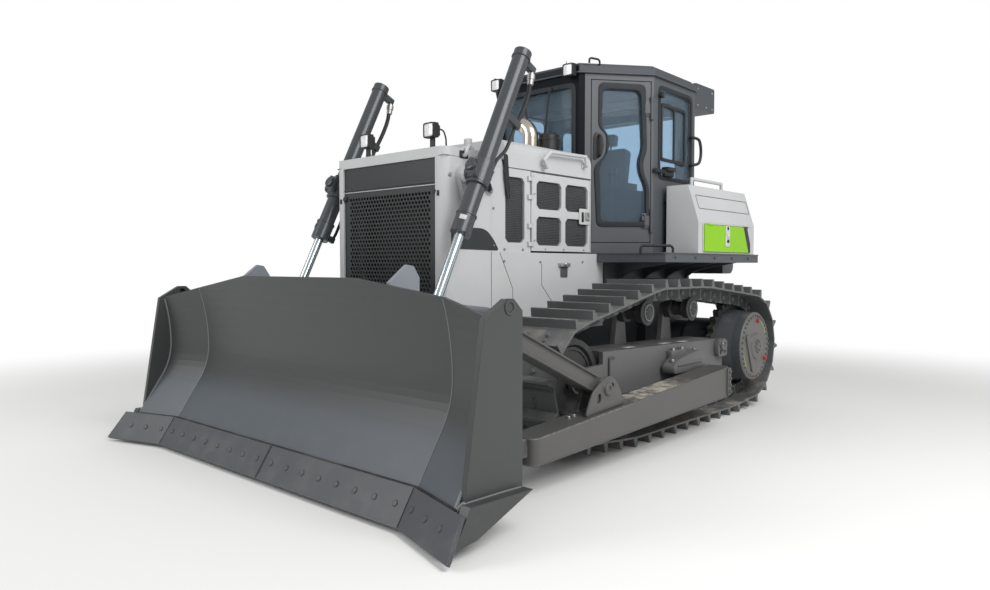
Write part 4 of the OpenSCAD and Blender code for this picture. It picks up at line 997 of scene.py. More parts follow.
for x, y, z in LAMP_SPOTS:
    fin = block((x - 70, y - 40, z - 36), (x - 60, y - 35, z + 36), 1.2)
    housings.append(ranked(fin, FINS, (0, FIN_PITCH, 0)))
both(joined(*housings), "lamp_rims", lamp_plastic)
front_lead = [(3376, 372, 2345), (3350, 396, 2352), (3330, 412, 2310), (3322, 414, 2240), (3320, 414, 2196)]
roof_lead = [(1800, 415, 3100), (1806, 415, 3122), (1786, 412, 3128), (1760, 408, 3118)]
both(joined(tube(front_lead, 6), tube(roof_lead, 5)), "lamp_wires", lamp_plastic)

# Fenders, side boxes and fuel tank: a charcoal deck over the tracks with a step
# bar at its front, pale boxes with a raised rail, a lime door on each with a
# paddle latch, and the charcoal tank behind the cab with its filler cap.
LIME = (0.245, 0.55, 0.008)
STRIPE_DARK = (0.03, 0.032, 0.034)
STRIPE_SLOPE = 0.48
STRIPE_FRONT = -2.697
STRIPE_REAR = -2.779
STRIPE_SOFT = 0.002
DECK_TOP = 1484.0
BOX_FACE = 1250.0
DOOR_FACE_Y = 1264.0
TANK_REAR = -429.0


def behind(line):
    """A mask that is full on the part of a box door behind a slanted line."""

    def mask(finish):
        slant = finish.along("X") - finish.along("Z") * STRIPE_SLOPE
        return 1.0 - finish.step(slant, line - STRIPE_SOFT, line + STRIPE_SOFT)

    return mask


charcoal.coat_nodes("fender_deck", "fuel_tank")
pale.coat_nodes("side_boxes")
door_layers = ((behind(STRIPE_FRONT), STRIPE_DARK), (behind(STRIPE_REAR), PALE_GREY))
lime = paint("lime_enamel", LIME, "lime_paint", rough=0.3, dust=0.06, wear=0.1, layers=door_layers,
             gloss=0.22)
lime.coat_nodes("box_door_left", "box_door_right")
silver = paint("latch_silver", (0.56, 0.57, 0.58), "stainless", rough=0.3, dust=0.1, wear=0.3)
step_route = [(1690, 1036, DECK_TOP), (1690, 1036, 1530), (1676, 1048, 1548), (1496, 1206, 1548),
              (1482, 1218, 1530), (1482, 1218, DECK_TOP)]
tread_line = softened([(1672, 1042), (1684, 1056), (1502, 1214), (1490, 1200)], 6)
step_tread = plate([tread_line], 8, on_top(0, 0, 1546), 2)
both(joined(tube(step_route, 11, 22), step_tread), "deck_step_bars", black)
kick_line = [(1716, 640), (1664, 1244), (1640, 1252), (-170, 1252)]
both(tube([(x, y, DECK_TOP) for x, y in kick_line], 6, 20), "deck_edge_beads", charcoal)
deck_heads = [on_left(x, BOX_FACE, 1450) for x in (60, 420, 780, 1140, 1500)]
both(bolts(10, 12, deck_heads), "deck_bolts", charcoal)
slope = facing(at(0, BOX_FACE, 1767), (-1, 0, 0), (0, -100, 323))
groove = plate(rim(-1020, 40, 120, 250, 24, 6, 20), 2.4, slope, 0.6)
both(groove, "side_box_grooves", frame_paint)
box_lines = [oblong(22, 1018, 1499, 1762, 26), oblong(34, 1006, 1503, 1749, 18)]
both(plate(box_lines, 8, side_sheet(BOX_FACE + 8), 2.5), "side_box_rims", pale)
shoe_walls = [on_top(x, 1080, 2090) for x in (300, 900)]
both(studs([(30, -1), (30, 6), (20, 10)], shoe_walls, 16), "box_rail_feet", pale)
latch_strip = plate([oblong(508, 596, 1556, 1742, 10)], 6, side_sheet(DOOR_FACE_Y + 6), 1.5)
latch_paddle = block((524, DOOR_FACE_Y + 5, 1640), (580, DOOR_FACE_Y + 16, 1704), 4)
on_each(joined(latch_strip, latch_paddle), "box_door", "latch", silver)
latch_key = turned([(15, 0), (15, 5), (9, 8), (5, 5)], on_left(552, DOOR_FACE_Y + 5, 1722), 16)
latch_pull = turned([(17, 0), (17, 6), (12, 12), (6, 13)], on_left(552, DOOR_FACE_Y + 5, 1606), 16)
on_each(joined(latch_key, latch_pull), "box_door", "lock", black_parts)
cap_rings = [(82, -2), (82, 12), (66, 18), (66, 44), (58, 54), (1, 56)]
settle(turned(cap_rings, on_top(-120, 480, 2060), 28), "tank_cap", black_parts)
band_line = [(400, 2062), (-300, 2062), (-418, 2010), (-432, 1900), (-432, 1420), (-400, 1310)]
tank_bands = [tube([(x, y, z) for x, z in band_line], 7, 60) for y in (-560, 560)]
settle(joined(*tank_bands), "tank_weld_bands", charcoal)
tank_rim = plate(rim(-300, 300, 1560, 1820, 20, 16, 14), 5, on_rear(TANK_REAR, 0, 0), 1.5)
settle(tank_rim, "tank_rear_rim", charcoal)
lamp_walls = [on_rear(TANK_REAR, y, 1940) for y in (-620, 620)]
settle(studs([(52, -2), (52, 26), (46, 30), (44, 24), (1, 22)], lamp_walls, 24), "tank_rear_lamps", red)

# Cab shell: a six-sided welded frame in charcoal, with a roof that
# overhangs it, rubber around every window, wipers, lifting eyes, a grab
# loop at each rear corner and the air conditioner's bolted housing behind.
FRONT_SHADE = (0.004, 0.006, 0.010)
FASCIA_X = -0.268
FASCIA_SOFT = 0.001
CAB_FRONT = 1780.0
CAB_REAR = 450.0
EYE_FOOT = 3118.0
EYE_BEND = 3150.0
EYE_TOP = 3162.0
EYE_CORNER = 16.0
EAVE_Z = 3044.0
LOUVRES = 9
LOUVRE_PITCH = 20.0


# The roof's front fascia, ahead of FASCIA_X, takes the same near-black as painted shade under the roof's
# edge.
def fascia_shade_mask(finish):
    return finish.step(finish.along("X"), FASCIA_X - FASCIA_SOFT, FASCIA_X)


charcoal.coat_nodes("cab_floor", "cab_left_wall", "cab_right_wall", "cab_rear_wall")
# The front wall is near-black with little gloss: dark trim, darkened further by painted shade under the
# roof's overhang.
front_shade_paint = paint("front_painted_shade", FRONT_SHADE, dust=0.02, wear=0.1, gloss=0.08)
front_shade_paint.coat_nodes("cab_front_wall")
roof_paint = paint("roof_enamel", CHARCOAL, dust=0.15, layers=((fascia_shade_mask, FRONT_SHADE),), gloss=0.2)
roof_paint.coat_nodes("cab_roof")
# Pale blue glass: the tone tints the view through it, and the share that is not let through lies over the
# cab's inside as a painted reflection.
glass_tint_and_reflection = ((0.52, 0.67, 0.80), (0.58, 0.72, 0.83))
glass = clouded("cab_glass", "glass", 1.3, glass_tint_and_reflection, 0.0, Transmission_Weight=0.92, IOR=1.14)
glass.coat_nodes("cab_glass", "door_glass_left", "door_glass_right")
rubber_tones = ((0.014, 0.018, 0.022), (0.028, 0.033, 0.038))
rubber = clouded("window_rubber", "black_plastic", 12.0, rubber_tones, 0.55, 90.0, 0.2,
                 Specular_IOR_Level=0.35)
rubber.bump(rubber.noise(300.0), 0.1, 0.0005, 0.004)


def shifted(wall, x, y, z):
    """A wall moved along its own axes, in millimetres."""
    return wall @ Matrix.Translation((x / 1000, y / 1000, z / 1000))


side_wall = facing(at(1250, 895, 0), (-800, -20, 0), (0, 0, 1))
front_rubber = plate(rim(-438, 438, 1722, 2968, 70, 42, 58), 8, on_front(CAB_FRONT, 0, 0), 2.5)
settle(front_rubber, "windscreen_rubber", rubber)
side_lines = [oblong(80, 742, 2150, 2980, 70), oblong(114, 706, 2184, 2946, 58)]
both(plate(side_lines, 7, side_wall, 2.5), "side_window_rubber", rubber)
slider_lines = [oblong(158, 632, 2320, 2836, 34)]
slider_lines += [oblong(x0, x1, 2350, 2808, 26) for x0, x1 in ((182, 392), (416, 608))]
both(plate(slider_lines, 14, shifted(side_wall, 0, 0, -22), 3), "side_window_sliders", rubber)
rear_rubber = plate(rim(-728, 728, 2098, 2862, 70, 36, 58), 7, on_rear(CAB_REAR, 0, 0), 2.5)
settle(rear_rubber, "rear_window_rubber", rubber)
WIPER_TOP = 2940
wipers = []
for y, sweep in ((-120, 150), (170, -140)):
    out = CAB_FRONT + 26
    blade_y = y + sweep
    arm_route = [(out, y, WIPER_TOP), (out, y + sweep * 0.3, 2600), (CAB_FRONT + 16, blade_y, 2230)]
    wipers.append(tube(arm_route, 10, 20))
    wipers.append(block((CAB_FRONT + 9, blade_y - 9, 1960), (CAB_FRONT + 20, blade_y + 9, 2500), 3))
    wipers.append(turned([(22, 0), (22, 24), (16, 32), (1, 33)], on_front(CAB_FRONT, y, WIPER_TOP), 16))
settle(joined(*wipers), "windscreen_wipers", black_parts)


def lifting_eye(front_x, front_y, rear_x, rear_y, lean):
    """A bent bar on the roof, from its front foot to its rear one, where lean is its slant over a bend."""
    front = [(front_x, front_y, EYE_FOOT), (front_x, front_y, EYE_BEND)]
    top = [(front_x - EYE_CORNER, front_y + lean, EYE_TOP), (rear_x + EYE_CORNER, rear_y - lean, EYE_TOP)]
    rear = [(rear_x, rear_y, EYE_BEND), (rear_x, rear_y, EYE_FOOT)]
    return tube(front + top + rear, 9, 14)


eyes = [lifting_eye(1738, 548, 1626, 578, 4), lifting_eye(640, 700, 528, 700, 0)]
both(joined(*eyes), "roof_lifting_eyes", black)
aerial = turned([(9, 0), (9, 14), (3, 18), (2.4, 36)], on_top(1772, 330, 3128), 10)
settle(aerial, "roof_aerial", black_parts)
low_loop = [(560, 878, 2330), (560, 918, 2330), (500, 950, 2345), (470, 952, 2420)]
high_loop = [(470, 952, 2500), (500, 950, 2575), (560, 918, 2590), (560, 878, 2590)]
both(tube(low_loop + high_loop, 14, 40), "cab_grab_loops", black)
housing_heads = [on_left(x, 875, 2924) for x in (100, 224, 399)] + [on_left(x, 875, 3080) for x in (100, 399)]
both(bolts(9, 10, housing_heads), "air_housing_bolts", zinc)
louvres = ranked(block((34, -700, 2915), (41, 700, 2923), 1.5), LOUVRES, (0, 0, LOUVRE_PITCH))
settle(louvres, "air_housing_louvres", black_parts)
holder_box = block((150, 2226, -2), (300, 2262, 66), 6, side_wall)
holder_arm = block((-20, 2200, 4), (160, 2236, 40), 6, side_wall)
holder_lip = block((140, 2180, 6), (310, 2228, 44), 8, side_wall)
both(joined(holder_box, holder_arm, holder_lip), "door_holders", black)
stop_rings = [(20, -2), (20, 16), (26, 18), (26, 40), (14, 46)]
stop = turned(stop_rings, shifted(side_wall, 95, 2885, 0), 16)
catch_rings = [(16, -2), (16, 22), (11, 24), (11, 60), (18, 62), (18, 74), (8, 78)]
catch = turned(catch_rings, shifted(side_wall, 215, 1956, 0), 14)
both(joined(stop, catch), "door_stops", black_parts)
eave_line = [(1798, -478), (1798, 478), (1258, 915), (436, 893)]
both(tube([(x, y, EAVE_Z) for x, y in eave_line], 7, 20), "roof_drip_beads", charcoal)

# Cab doors: one on each slanted face, hung at the rear edge on two hinges, with
# a wavy window in thick rubber and a black handle in front. Charcoal steel
# frames; each door carries its rubber, handle and hinge plates when it swings.
HINGE_ZS = (1720, 2700)
charcoal.coat_nodes("cab_door_left", "cab_door_right")
door_wall = facing(at(1780, 470, 0), (-530, 425, 0), (0, 0, 1))
glass_line = [(214, 2913), (554, 2906), (579, 2409), (542, 2304), (550, 2200), (607, 2080),
              (609, 1764), (196, 1768), (185, 2248), (272, 2378), (272, 2505), (200, 2591)]
rubber_line = [(176, 2966), (600, 2960), (616, 2386), (580, 2289), (589, 2192), (638, 2080),
               (640, 1724), (163, 1720), (135, 2247), (243, 2345), (250, 2521), (175, 2582)]
rubber_lines = [softened(rubber_line, 55), softened(glass_line, 55)]
outer_rubber = plate(rubber_lines, 12, shifted(door_wall, 0, 0, -1), 4)
inner_rubber = plate(rubber_lines, 8, shifted(door_wall, 0, 0, -67), 3)
on_each(joined(outer_rubber, inner_rubber), "cab_door", "rubber", rubber)
grip_line = [(128, 2290), (206, 2330), (226, 2430), (206, 2520), (150, 2540), (128, 2500)]
grip_plate = plate([softened(grip_line, 26)], 7, door_wall, 2)
grip_route = [(178, 2330, 4), (178, 2336, 40), (182, 2420, 46), (180, 2500, 40), (180, 2506, 4)]
on_each(joined(grip_plate, tube(grip_route, 12, 16, door_wall)), "cab_door", "handle", black_parts)
hinge_leaves = [block((572, z - 14, 0), (640, z + 124, 9), 3, door_wall) for z in HINGE_ZS]
on_each(joined(*hinge_leaves), "cab_door", "hinge_plates", charcoal)
hinge_heads = [shifted(door_wall, 588, z + 5 + k * 50, 9) for z in HINGE_ZS for k in range(3)]
on_each(bolts(8, 9, hinge_heads), "cab_door", "hinge_bolts", black)

# Operator's seat and controls: a sprung pedestal with vinyl cushions sewn in
# panels, a headrest, side consoles with levers and armrests, a dash hood,
# and a pale moulded liner under the roof with a sun blind at the front.
FLOOR_Z = 1540.0
BACK_LEAN = math.radians(-10)
SEAM_AT = 0.43
SEAM_NEAR = 0.02
SEAM_PULL = 0.35
SIDE_PULL = 0.012
PAD_EDGE = 0.99
trim_plastic = paint("trim_plastic", (0.030, 0.031, 0.033), "black_plastic", rough=0.6, dust=0.1, wear=0.1)
trim_plastic.coat_nodes("consoles")
vinyl = clouded("seat_vinyl", "seat_trim", 5.0, ((0.035, 0.036, 0.039), (0.060, 0.061, 0.065)), 0.55)
grain = vinyl.add("TexVoronoi", None, {"Vector": vinyl.where, "Scale": 420.0}, out="Distance")
vinyl.bump(grain, 0.25, 0.0008)


def cushion(low, high, crown, name, lean=0.0):
    """A vinyl pad: a cut-up block drawn in along its seams, crowned on top and rounded by subdivision."""
    low, high = Vector(low) / 1000, Vector(high) / 1000
    size, middle = high - low, (low + high) / 2
    bpy.ops.mesh.primitive_cube_add(size=1.0)
    pad = bpy.context.object
    pad.scale = size
    bpy.ops.object.transform_apply(location=False, rotation=False, scale=True)
    bpy.ops.object.mode_set(mode="EDIT")
    bpy.ops.mesh.select_all(action="SELECT")
    bpy.ops.mesh.subdivide(number_cuts=6)
    bpy.ops.object.mode_set(mode="OBJECT")
    thin = min(range(3), key=lambda i: size[i])
    for vertex in pad.data.vertices:
        share = [2 * vertex.co[i] / size[i] for i in range(3)]
        others = [share[i] for i in range(3) if i != thin]
        bulge = (1 - others[0] ** 2) * (1 - others[1] ** 2)
        if share[thin] > PAD_EDGE:
            seam = SEAM_PULL if abs(abs(others[1]) - SEAM_AT) < SEAM_NEAR else 1.0
            vertex.co[thin] += crown / 1000 * bulge * seam
        for i in range(3):
            if i != thin and abs(share[i]) > PAD_EDGE:
                vertex.co[i] -= math.copysign(SIDE_PULL, vertex.co[i]) * (1 - bulge) * 0.5
    rounding = pad.modifiers.new("rounding", "SUBSURF")
    rounding.levels = 2
    rounding.render_levels = 2
    take(pad)
    bpy.ops.object.modifier_apply(modifier="rounding")
    hinge = Vector((low.x, 0.0, low.z))
    lay = Matrix.Translation(hinge) @ Matrix.Rotation(lean, 4, "Y") @ Matrix.Translation(-hinge)
    pad.matrix_world = MACHINE @ lay @ Matrix.Translation(middle)
    settle(pad, name, vinyl)
    return pad


seat_pad = cushion((700, -255, FLOOR_Z + 360), (1180, 255, FLOOR_Z + 470), 26, "seat_cushion")
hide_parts("seat")
cushion((640, -245, FLOOR_Z + 450), (750, 245, FLOOR_Z + 1010), 24, "seat_back", BACK_LEAN)
cushion((640, -140, FLOOR_Z + 1030), (720, 140, FLOOR_Z + 1150), 14, "seat_headrest", BACK_LEAN)
for side, y in (("left", 405), ("right", -405)):
    cushion((780, y - 55, FLOOR_Z + 565), (1080, y + 55, FLOOR_Z + 625), 8, f"console_armrest_{side}")
pedestal_rings = [(150, 0), (170, 8), (170, 30), (120, 44)]
for fold in range(120, 180, 24):
    pedestal_rings += [(110, fold), (125, fold + 12)]
pedestal_rings += [(110, 192), (120, 300), (190, 320), (200, 352)]
seat_base = [turned(pedestal_rings, on_top(930, 0, FLOOR_Z), 24)]
seat_base += [tube([(668, y, FLOOR_Z + 960), (640, y, FLOOR_Z + 1060)], 8, 5) for y in (60, -60)]
settle(joined(*seat_base), "seat_pedestal", trim_plastic.filling("seat_trim"))
lever_rings = [(34, 0), (30, 20), (12, 44), (9, 120), (22, 130), (24, 180), (14, 196)]
lever_spots = ((1180, 400), (1140, 430), (1180, -400), (1140, -430))
levers = [turned(lever_rings, on_top(x, y, FLOOR_Z + 560), 16) for x, y in lever_spots]
settle(joined(*levers), "control_levers", black_parts)
dash_line = [(1545, FLOOR_Z + 560), (1700, FLOOR_Z + 600), (1700, FLOOR_Z + 700), (1600, FLOOR_Z + 690)]
settle(plate([softened(dash_line, 25)], 520, side_sheet(260), 8), "dash_hood", trim_plastic)
liner = paint("roof_liner", (0.36, 0.36, 0.35), "seat_trim", rough=0.75, dust=0.0, wear=0.0)
liner_line = softened([(1690, 400), (1220, 800), (530, 790), (530, -790), (1220, -800), (1690, -400)], 60)
liner_hole = softened([(1500, 300), (1150, 560), (700, 560), (700, -560), (1150, -560), (1500, -300)], 60)
headliner = plate([liner_line], 26, on_top(0, 0, 3008), 8)
headliner_rim = plate([liner_line, liner_hole], 60, on_top(0, 0, 2955), 16)
settle(joined(headliner, headliner_rim), "cab_headliner", liner)
blind = tube([(1690, -360, 2930), (1690, 0, 2934), (1690, 360, 2930)], 26, 5)
blind_sheet = block((1684, -350, 2760), (1688, 350, 2930), 1.5)
settle(joined(blind, blind_sheet), "cab_sun_blind", trim_plastic)

# Blade: a curved steel moldboard with angled wings, end plates, lifting eyes and bolted cutting edges and
# end bits. Smooth satin grey on the face, with a painted sky reflection, lighter and bluer, on the flat at
# the foot, and a painted horizon reflection, a darker band, above it; the horns on its back are paler.
BLADE = "blade"
BLADE_GREY = (0.049, 0.053, 0.053)
SKY_REFLECTION = (0.080, 0.095, 0.112)
HORIZON_REFLECTION = (0.044, 0.047, 0.048)
HORN_PALE = (0.23, 0.25, 0.28)
SKY_REFLECTION_FADE = (0.40, 0.58)
HORIZON_REFLECTION_RISE = (0.50, 0.62)
HORIZON_REFLECTION_FALL = (0.66, 0.84)
HORIZON_REFLECTION_SHARE = 0.7
HORN_FADE = (1.12, 1.19)
FOOT = Vector((4478.0, 207.0))
FOOT_ANGLE = math.radians(57)
WING_ANGLE = math.radians(17.3)
BLADE_HALF = 1370.0
WING_END = 1764.0
EDGE_THICK = 26.0
EDGE_BOLTS = 8
BOLT_REACH = 106.0
FLAT = 342.0
LOW_R = 494.0
HIGH_R = 1364.0
CURVE_STEPS = 8


# Painted reflection: lighter and bluer low on the face, as if the sky showed in the flat at the foot.
def sky_reflection_mask(finish):
    return 1.0 - finish.step(finish.along("Z"), *SKY_REFLECTION_FADE)


# Painted reflection: a darker band across the middle of the face, as if the horizon showed in it.
def horizon_reflection_mask(finish):
    height = finish.along("Z")
    above = finish.step(height, *HORIZON_REFLECTION_FALL)
    return finish.step(height, *HORIZON_REFLECTION_RISE) * (1.0 - above) * HORIZON_REFLECTION_SHARE


def horn_mask(finish):
    return finish.step(finish.along("Z"), *HORN_FADE)


blade_look = {"rough": 0.34, "dust": 0.06, "wear": 0.2, "low": 0.5}
blade_layers = ((horizon_reflection_mask, HORIZON_REFLECTION), (sky_reflection_mask, SKY_REFLECTION))
blade_paint = paint("blade_enamel", BLADE_GREY, layers=blade_layers, **blade_look)
blade_paint.coat_nodes("moldboard")
side_paint = paint("blade_side_enamel", BLADE_GREY, **blade_look)
side_paint.coat_nodes("blade_sides")
horn_paint = paint("horn_enamel", CHARCOAL, dust=0.2, layers=((horn_mask, HORN_PALE),))
horn_paint.coat_nodes("blade_back")
edge_steel = paint("edge_steel", (0.060, 0.066, 0.074), rough=0.36, dust=0.12, wear=0.5, low=0.3,
                   worn=(0.3, 0.3, 0.3))
edge_steel.coat_nodes("cutting_edges")
# The welds, and the seam bar that stands for the foot's lip, are a paler grey: a painted highlight where
# their edges catch the light.
weld_highlight_paint = paint("weld_painted_highlight", (0.165, 0.175, 0.187), rough=0.34, dust=0.05, wear=0.3)
down = Vector((math.cos(FOOT_ANGLE), -math.sin(FOOT_ANGLE)))
proud = Vector((math.sin(FOOT_ANGLE), math.cos(FOOT_ANGLE)))


def on_edge(y, reach):
    """A wall on the cutting edge's face, reach below its top."""
    spot = FOOT + proud * EDGE_THICK + down * reach
    return facing(at(spot.x, y, spot.y), (0, 1, 0), (-down.x, 0, -down.y))


wing_turn = Matrix.Rotation(-WING_ANGLE, 3, "Z")
wing_squeeze = math.cos(WING_ANGLE)


def by_end_bit(along, spot):
    """A place beside an end bit, along the wing from its joint and a spot away from its foot."""
    from_joint = Vector((spot.x * wing_squeeze, along, FOOT.y + spot.y))
    return Vector((FOOT.x, BLADE_HALF, 0)) + wing_turn @ from_joint


def on_end_bit(along, reach):
    """A wall on an end bit's face, along the wing from its joint and reach below its top."""
    place = by_end_bit(along, proud * EDGE_THICK + down * reach)
    across = wing_turn @ Vector((0, 1, 0))
    up = wing_turn @ Vector((-down.x * wing_squeeze, 0, -down.y))
    return facing(at(*place), across, up)


edge_walls = [on_edge(BLADE_HALF * (k + 0.5) / EDGE_BOLTS, BOLT_REACH) for k in range(EDGE_BOLTS)]
edge_walls += [on_end_bit(along, BOLT_REACH) for along in (90, 250, 410)]
plough_rings = [(19, 0), (19, 3), (15, 7), (6, 8)]
both(studs(plough_rings, edge_walls, 14), "cutting_edge_bolts", edge_steel, BLADE)
# A black bead along the top of the cutting edges is a painted shadow in the gap behind their top; the beads
# down the joints between the edges are dark joints.
top_spot = proud * 9 - down * 5
shadow_bead = [(FOOT.x + top_spot.x, y, FOOT.y + top_spot.y) for y in (4, BLADE_HALF)]
shadow_bead.append(tuple(by_end_bit(440, top_spot)))
beads = [tube(shadow_bead, 9, 8)]
joint_ends = [FOOT + proud * (EDGE_THICK - 1) + down * reach for reach in (4, 218)]
for y in (4, BLADE_HALF):
    beads.append(tube([(end.x, y, end.y) for end in joint_ends], 5, 6))
both(joined(*beads), "edge_shadow_and_joint_beads", black.filling("charcoal_paint"), BLADE)
flat_end = FOOT - down * FLAT
low_centre = flat_end + proud * LOW_R
deepest = low_centre - Vector((LOW_R, 0))


def face_route(top):
    """Points up the blade's face from its foot: a flat, a tight curve and a wide curve."""
    route = [FOOT.copy(), FOOT - down * FLAT * 0.5]
    for k in range(CURVE_STEPS + 1):
        turn = math.pi + (math.pi / 2 - FOOT_ANGLE) * (1 - k / CURVE_STEPS)
        route.append(low_centre + Vector((math.cos(turn), math.sin(turn))) * LOW_R)
    high = math.asin((top - deepest.y) / HIGH_R)
    for k in range(1, CURVE_STEPS + 1):
        turn = high * k / CURVE_STEPS
        route.append(deepest + Vector((1 - math.cos(turn), math.sin(turn))) * HIGH_R)
    return route


wing_swing = (WING_END - BLADE_HALF) * math.tan(WING_ANGLE)
joint_weld = tube([(p.x - 1, BLADE_HALF, p.y) for p in face_route(1205)], 6, 4)
end_weld = tube([(p.x + wing_swing - 3, WING_END + 1, p.y) for p in face_route(1118)], 9, 4)
both(joined(joint_weld, end_weld), "blade_welds", weld_highlight_paint, BLADE)
seam_bar = tube([(4600, 1768, 196), (4560, 1790, 236), (4300, 1790, 232), (4140, 1790, 226)], 14, 10)
both(seam_bar, "blade_foot_welds", weld_highlight_paint, BLADE)
eye_ring = turned([(40, 0), (40, 5), (27, 7), (25, 1)], on_left(4232, 1800, 1170), 24)
both(eye_ring, "blade_eye_rings", blade_paint, BLADE)

# Push arms and braces: welded box arms from the trunnions to the blade, sandy
# on top, and flanged braces pinned between a drilled fork plate on each arm
# and the blade's ears. Charcoal enamel, rubbed bright along the edges of the
# braces and plates; the arms' edges carry patches of painted bluish highlight.
ARM_SIDE = 1548.0
ARM_PLATE = 1561.0
ARM_Y = 1420.0
ARM_TONES = ((0.078, 0.076, 0.074), (0.100, 0.098, 0.096))
ARM_EDGE_HIGHLIGHT = (0.27, 0.29, 0.32)
ARM_HIGHLIGHT_FADE = (0.3, 0.6)
SAND_COLOUR = (0.44, 0.41, 0.34)
SAND_UP = (0.7, 0.95)
SAND_START = (-0.5, -0.1)
SAND_END = (0.35, 0.7)
SAND_FADE = (0.52, 0.86)
BRACE_REAR = Vector((2900.0, 560.0))
BRACE_WAY = (Vector((4070.0, 1080.0)) - BRACE_REAR).normalized()
arm_paint = paint("arm_enamel", (0.088, 0.086, 0.084), rough=0.4, dust=0.1, wear=0.5, low=0.3, rounded=0.012)
arm_paint.coat_nodes("braces")
sand_paint = Finish("sandy_arm")
sand_cloud = sand_paint.noise(3.0, 5.0)
sand_up = sand_paint.step(sand_paint.upward(), *SAND_UP)
sand_x = sand_paint.along("X")
sand_reach = sand_paint.step(sand_x, *SAND_START) * (1.0 - sand_paint.step(sand_x, *SAND_END))
sand_mud = sand_paint.step(sand_paint.noise(16.0, 10.0) + sand_reach * 0.2, *SAND_FADE)
sand = sand_up * sand_mud * sand_reach
# Painted highlight: patches of pale bluish grey along the arms' edges, where they would catch the light.
edge_highlight = sand_paint.edges(0.02) * sand_paint.step(sand_paint.noise(25.0), *ARM_HIGHLIGHT_FADE) * 0.8
sand_tone = sand_paint.mix(sand_cloud, *ARM_TONES)
sand_tone = sand_paint.mix(edge_highlight, sand_tone, ARM_EDGE_HIGHLIGHT)
sand_paint.set("Base Color", sand_paint.mix(sand, sand_tone, SAND_COLOUR))
sand_paint.set("Roughness", 0.4 + sand * 0.5)
sand_paint.bump(sand_paint.noise(70.0, 6.0) * sand * 4.0 + sand_paint.noise(300.0) * 0.2, 0.4, 0.002, 0.014)
sand_paint.coat_nodes("push_arms")
fork_line = [(2676, 432), (3150, 398), (3072, 548), (2980, 606), (2880, 646), (2812, 626), (2752, 560)]
fork_slot = [(2966, 480), (3020, 470), (3014, 530), (2974, 540)]
fork_lines = [softened(fork_line, 36), softened(fork_slot, 22), disc_line(2838, 572, 20)]
fork_plate = plate(fork_lines, 16, side_sheet(1514), 3)
fork_rings = [(44, 0), (44, 18), (36, 24), (20, 24), (18, 16), (1, 16)]
fork_cap = turned(fork_rings, on_left(BRACE_REAR.x, 1510, BRACE_REAR.y), 24)
both(joined(fork_plate, fork_cap), "brace_fork_plates", arm_paint, BLADE)
brace_across, brace_up = (BRACE_WAY.x, 0, BRACE_WAY.y), (-BRACE_WAY.y, 0, BRACE_WAY.x)
brace_wall = facing(at(BRACE_REAR.x, ARM_Y, BRACE_REAR.y), brace_across, brace_up)
flanges = []
for low, high in ((-58, -44), (44, 58)):
    for deep, face in ((-68, -49), (49, 68)):
        flanges.append(block((96, low, deep), (1178, high, face), 4, brace_wall))
both(joined(*flanges), "brace_flanges", arm_paint, BLADE)
end_line = softened([(1086, 292), (1150, 290), (1150, 520), (1086, 524)], 14)
end_plate = plate([end_line], 12, side_sheet(ARM_PLATE), 3)
end_heads = bolts(14, 16, [on_left(1118, ARM_PLATE, z) for z in (322, 378, 434, 490)])
both(joined(end_plate, end_heads), "arm_end_plates", arm_paint, BLADE)
weld_low = tube([(1120, ARM_SIDE, 284), (3660, ARM_SIDE, 203)], 6, 4)
weld_high = tube([(1120, ARM_SIDE, 526), (2640, ARM_SIDE, 432)], 5, 4)
both(joined(weld_low, weld_high), "arm_welds", arm_paint, BLADE)
both(bolts(12, 14, [on_top(3150, ARM_Y, 398), on_top(3205, ARM_Y, 395)]), "arm_clip_bolts", zinc, BLADE)

# Lift cylinders: charcoal barrels in trunnion yokes on the guard, with bolted caps, a ring at the seam, a
# bare plate at the gland, steel pipes and a hose clamped behind, and chromed rods that hold up the blade.
LIFT_LEAN = math.radians(26.2)
LIFT = at(3360, 790, 2012)
HEAD_RING = 46.0
HEAD_BOLTS = 8
GLAND_R = 69.5
PLATE_TURN = math.radians(35)
chrome_tones = ((0.44, 0.50, 0.54), (0.54, 0.60, 0.63))
chrome = clouded("rod_chrome", "stainless", 3.0, chrome_tones, 0.20, 2.0, 0.04, fine=1.0, Metallic=1.0)
chrome.coat_nodes("lift_rod_left", "lift_rod_right")
barrel_paint = paint("barrel_enamel", (0.052, 0.058, 0.064), rough=0.2, dust=0.06, wear=0.15)
barrel_paint.coat_nodes("lift_barrel_left", "lift_barrel_right")
hose_tones = ((0.012, 0.012, 0.013), (0.024, 0.024, 0.025))
hose_rubber = clouded("hose_rubber", "black_plastic", 20.0, hose_tones, 0.5, 80.0, 0.2,
                      Specular_IOR_Level=0.4)
braid = hose_rubber.add("TexWave", None, {"Vector": hose_rubber.where, "Scale": 160.0}, out="Fac")
hose_rubber.bump(braid, 0.1, 0.0006)
lift_wall = Matrix.Translation(LIFT) @ Matrix.Rotation(-LIFT_LEAN, 4, "Y")


def on_barrel(x, y, z):
    """A wall that faces forwards on the left barrel, in millimetres along the barrel's own axes."""
    return lift_wall @ facing((x / 1000, y / 1000, z / 1000), (0, 1, 0), (0, 0, 1))


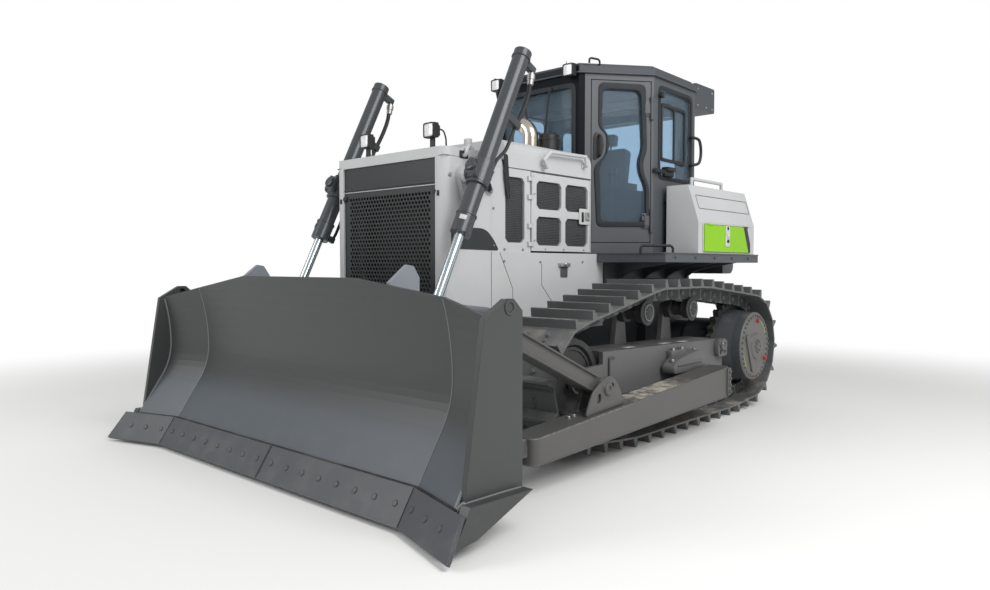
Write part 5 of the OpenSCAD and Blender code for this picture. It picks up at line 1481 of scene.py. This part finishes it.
fittings = [turned([(44, -2), (44, 6), (38, 10), (26, 10), (24, 6), (1, 6)], on_barrel(118, 0, 0), 28)]
for height, rings in (
    (-103, [(76, 0), (80, 3), (80, 15), (76, 18)]),
    (-335, [(69, 0), (73, 2), (73, 16), (69, 18)]),
    (945, [(66, 0), (70, 2), (70, 14), (66, 16)]),
):
    fittings.append(turned(rings, shifted(lift_wall, 0, 0, height), 36))
head_walls = [shifted(lift_wall, x, y, 1005) for x, y in circle(HEAD_RING, HEAD_BOLTS)]
fittings.append(bolts(8, 10, head_walls))
fittings.append(bolts(10, 18, [on_barrel(84, y, z) for z in (-62, 62) for y in (-40, 40)]))
banjo = block((-158, -26, 926), (-56, 26, 978), 8, lift_wall)
pipe_block = block((-128, -62, -4), (-60, -16, 96), 8, lift_wall)
gland_block = block((-112, -46, -452), (-60, -8, -404), 6, lift_wall)
hose_clamp = block((-192, -34, 470), (-58, 26, 526), 8, lift_wall)
fittings += [banjo, pipe_block, gland_block, hose_clamp]
on_each(joined(*fittings), "lift_barrel", "fittings", barrel_paint)
neck_rings = [(24, 0), (24, 22), (30, 24), (30, 58), (24, 60), (24, 96), (19, 100)]
neck_wall = lift_wall @ facing((-0.142, 0.0, 0.94), (0, 1, 0), (0.96, 0, -0.28))
on_each(turned(neck_rings, neck_wall, 12), "lift_barrel", "hose_end", zinc)
plate_out = Vector((math.cos(PLATE_TURN), math.sin(PLATE_TURN), 0))
plate_spot = (GLAND_R * plate_out.x / 1000, GLAND_R * plate_out.y / 1000, -0.372)
plate_wall = lift_wall @ facing(plate_spot, (-plate_out.y, plate_out.x, 0), (0, 0, 1))
on_each(plate([oblong(-24, 24, -17, 17, 4)], 3, plate_wall, 0.8), "lift_barrel", "bare_plate", bare_plate)
low_route = [(-94, -40, 10), (-100, -40, -60), (-100, -36, -380), (-94, -28, -424)]
high_route = [(-96, -10, 90), (-104, -10, 170), (-158, -10, 280), (-168, -10, 400), (-168, -10, 500)]
pipes = joined(tube(low_route, 12, 30, lift_wall), tube(high_route, 13, 30, lift_wall))
on_each(pipes, "lift_barrel", "pipes", black)
top_route = [(-164, 0, 850), (-178, 0, 790), (-184, 0, 700), (-180, -2, 600), (-168, -6, 500)]
on_each(tube(top_route, 17, 0, lift_wall), "lift_barrel", "top_hose", hose_rubber)
barrel_spots = ((-100, -44, 60), (-130, -70, 70), (-168, -100, 40))
hull_spots = ((3150, 668, 1965), (3105, 640, 1930), (3085, 606, 1925))
hose_route = [lift_wall @ (Vector(spot) / 1000) for spot in barrel_spots]
hose_route += [at(*spot) for spot in hull_spots]
left_hose = tube([spot * 1000 for spot in hose_route], 15, 0, Matrix())
for side, hand, hose in (("right", -1, other_side(left_hose)), ("left", 1, left_hose)):
    start, end = (Vector((spot.x, spot.y * hand, spot.z)) for spot in (hose_route[0], hose_route[-1]))
    smooth(hose)
    hose.name = f"lift_hose_{side}"
    hose_rubber.coat(hose)
    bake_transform(hose)
bulkhead = turned([(34, -2), (34, 8), (22, 10), (22, 26), (18, 30)], on_left(3085, GUARD_SIDE, 1925), 16)
both(bulkhead, "guard_hose_bulkheads", zinc)
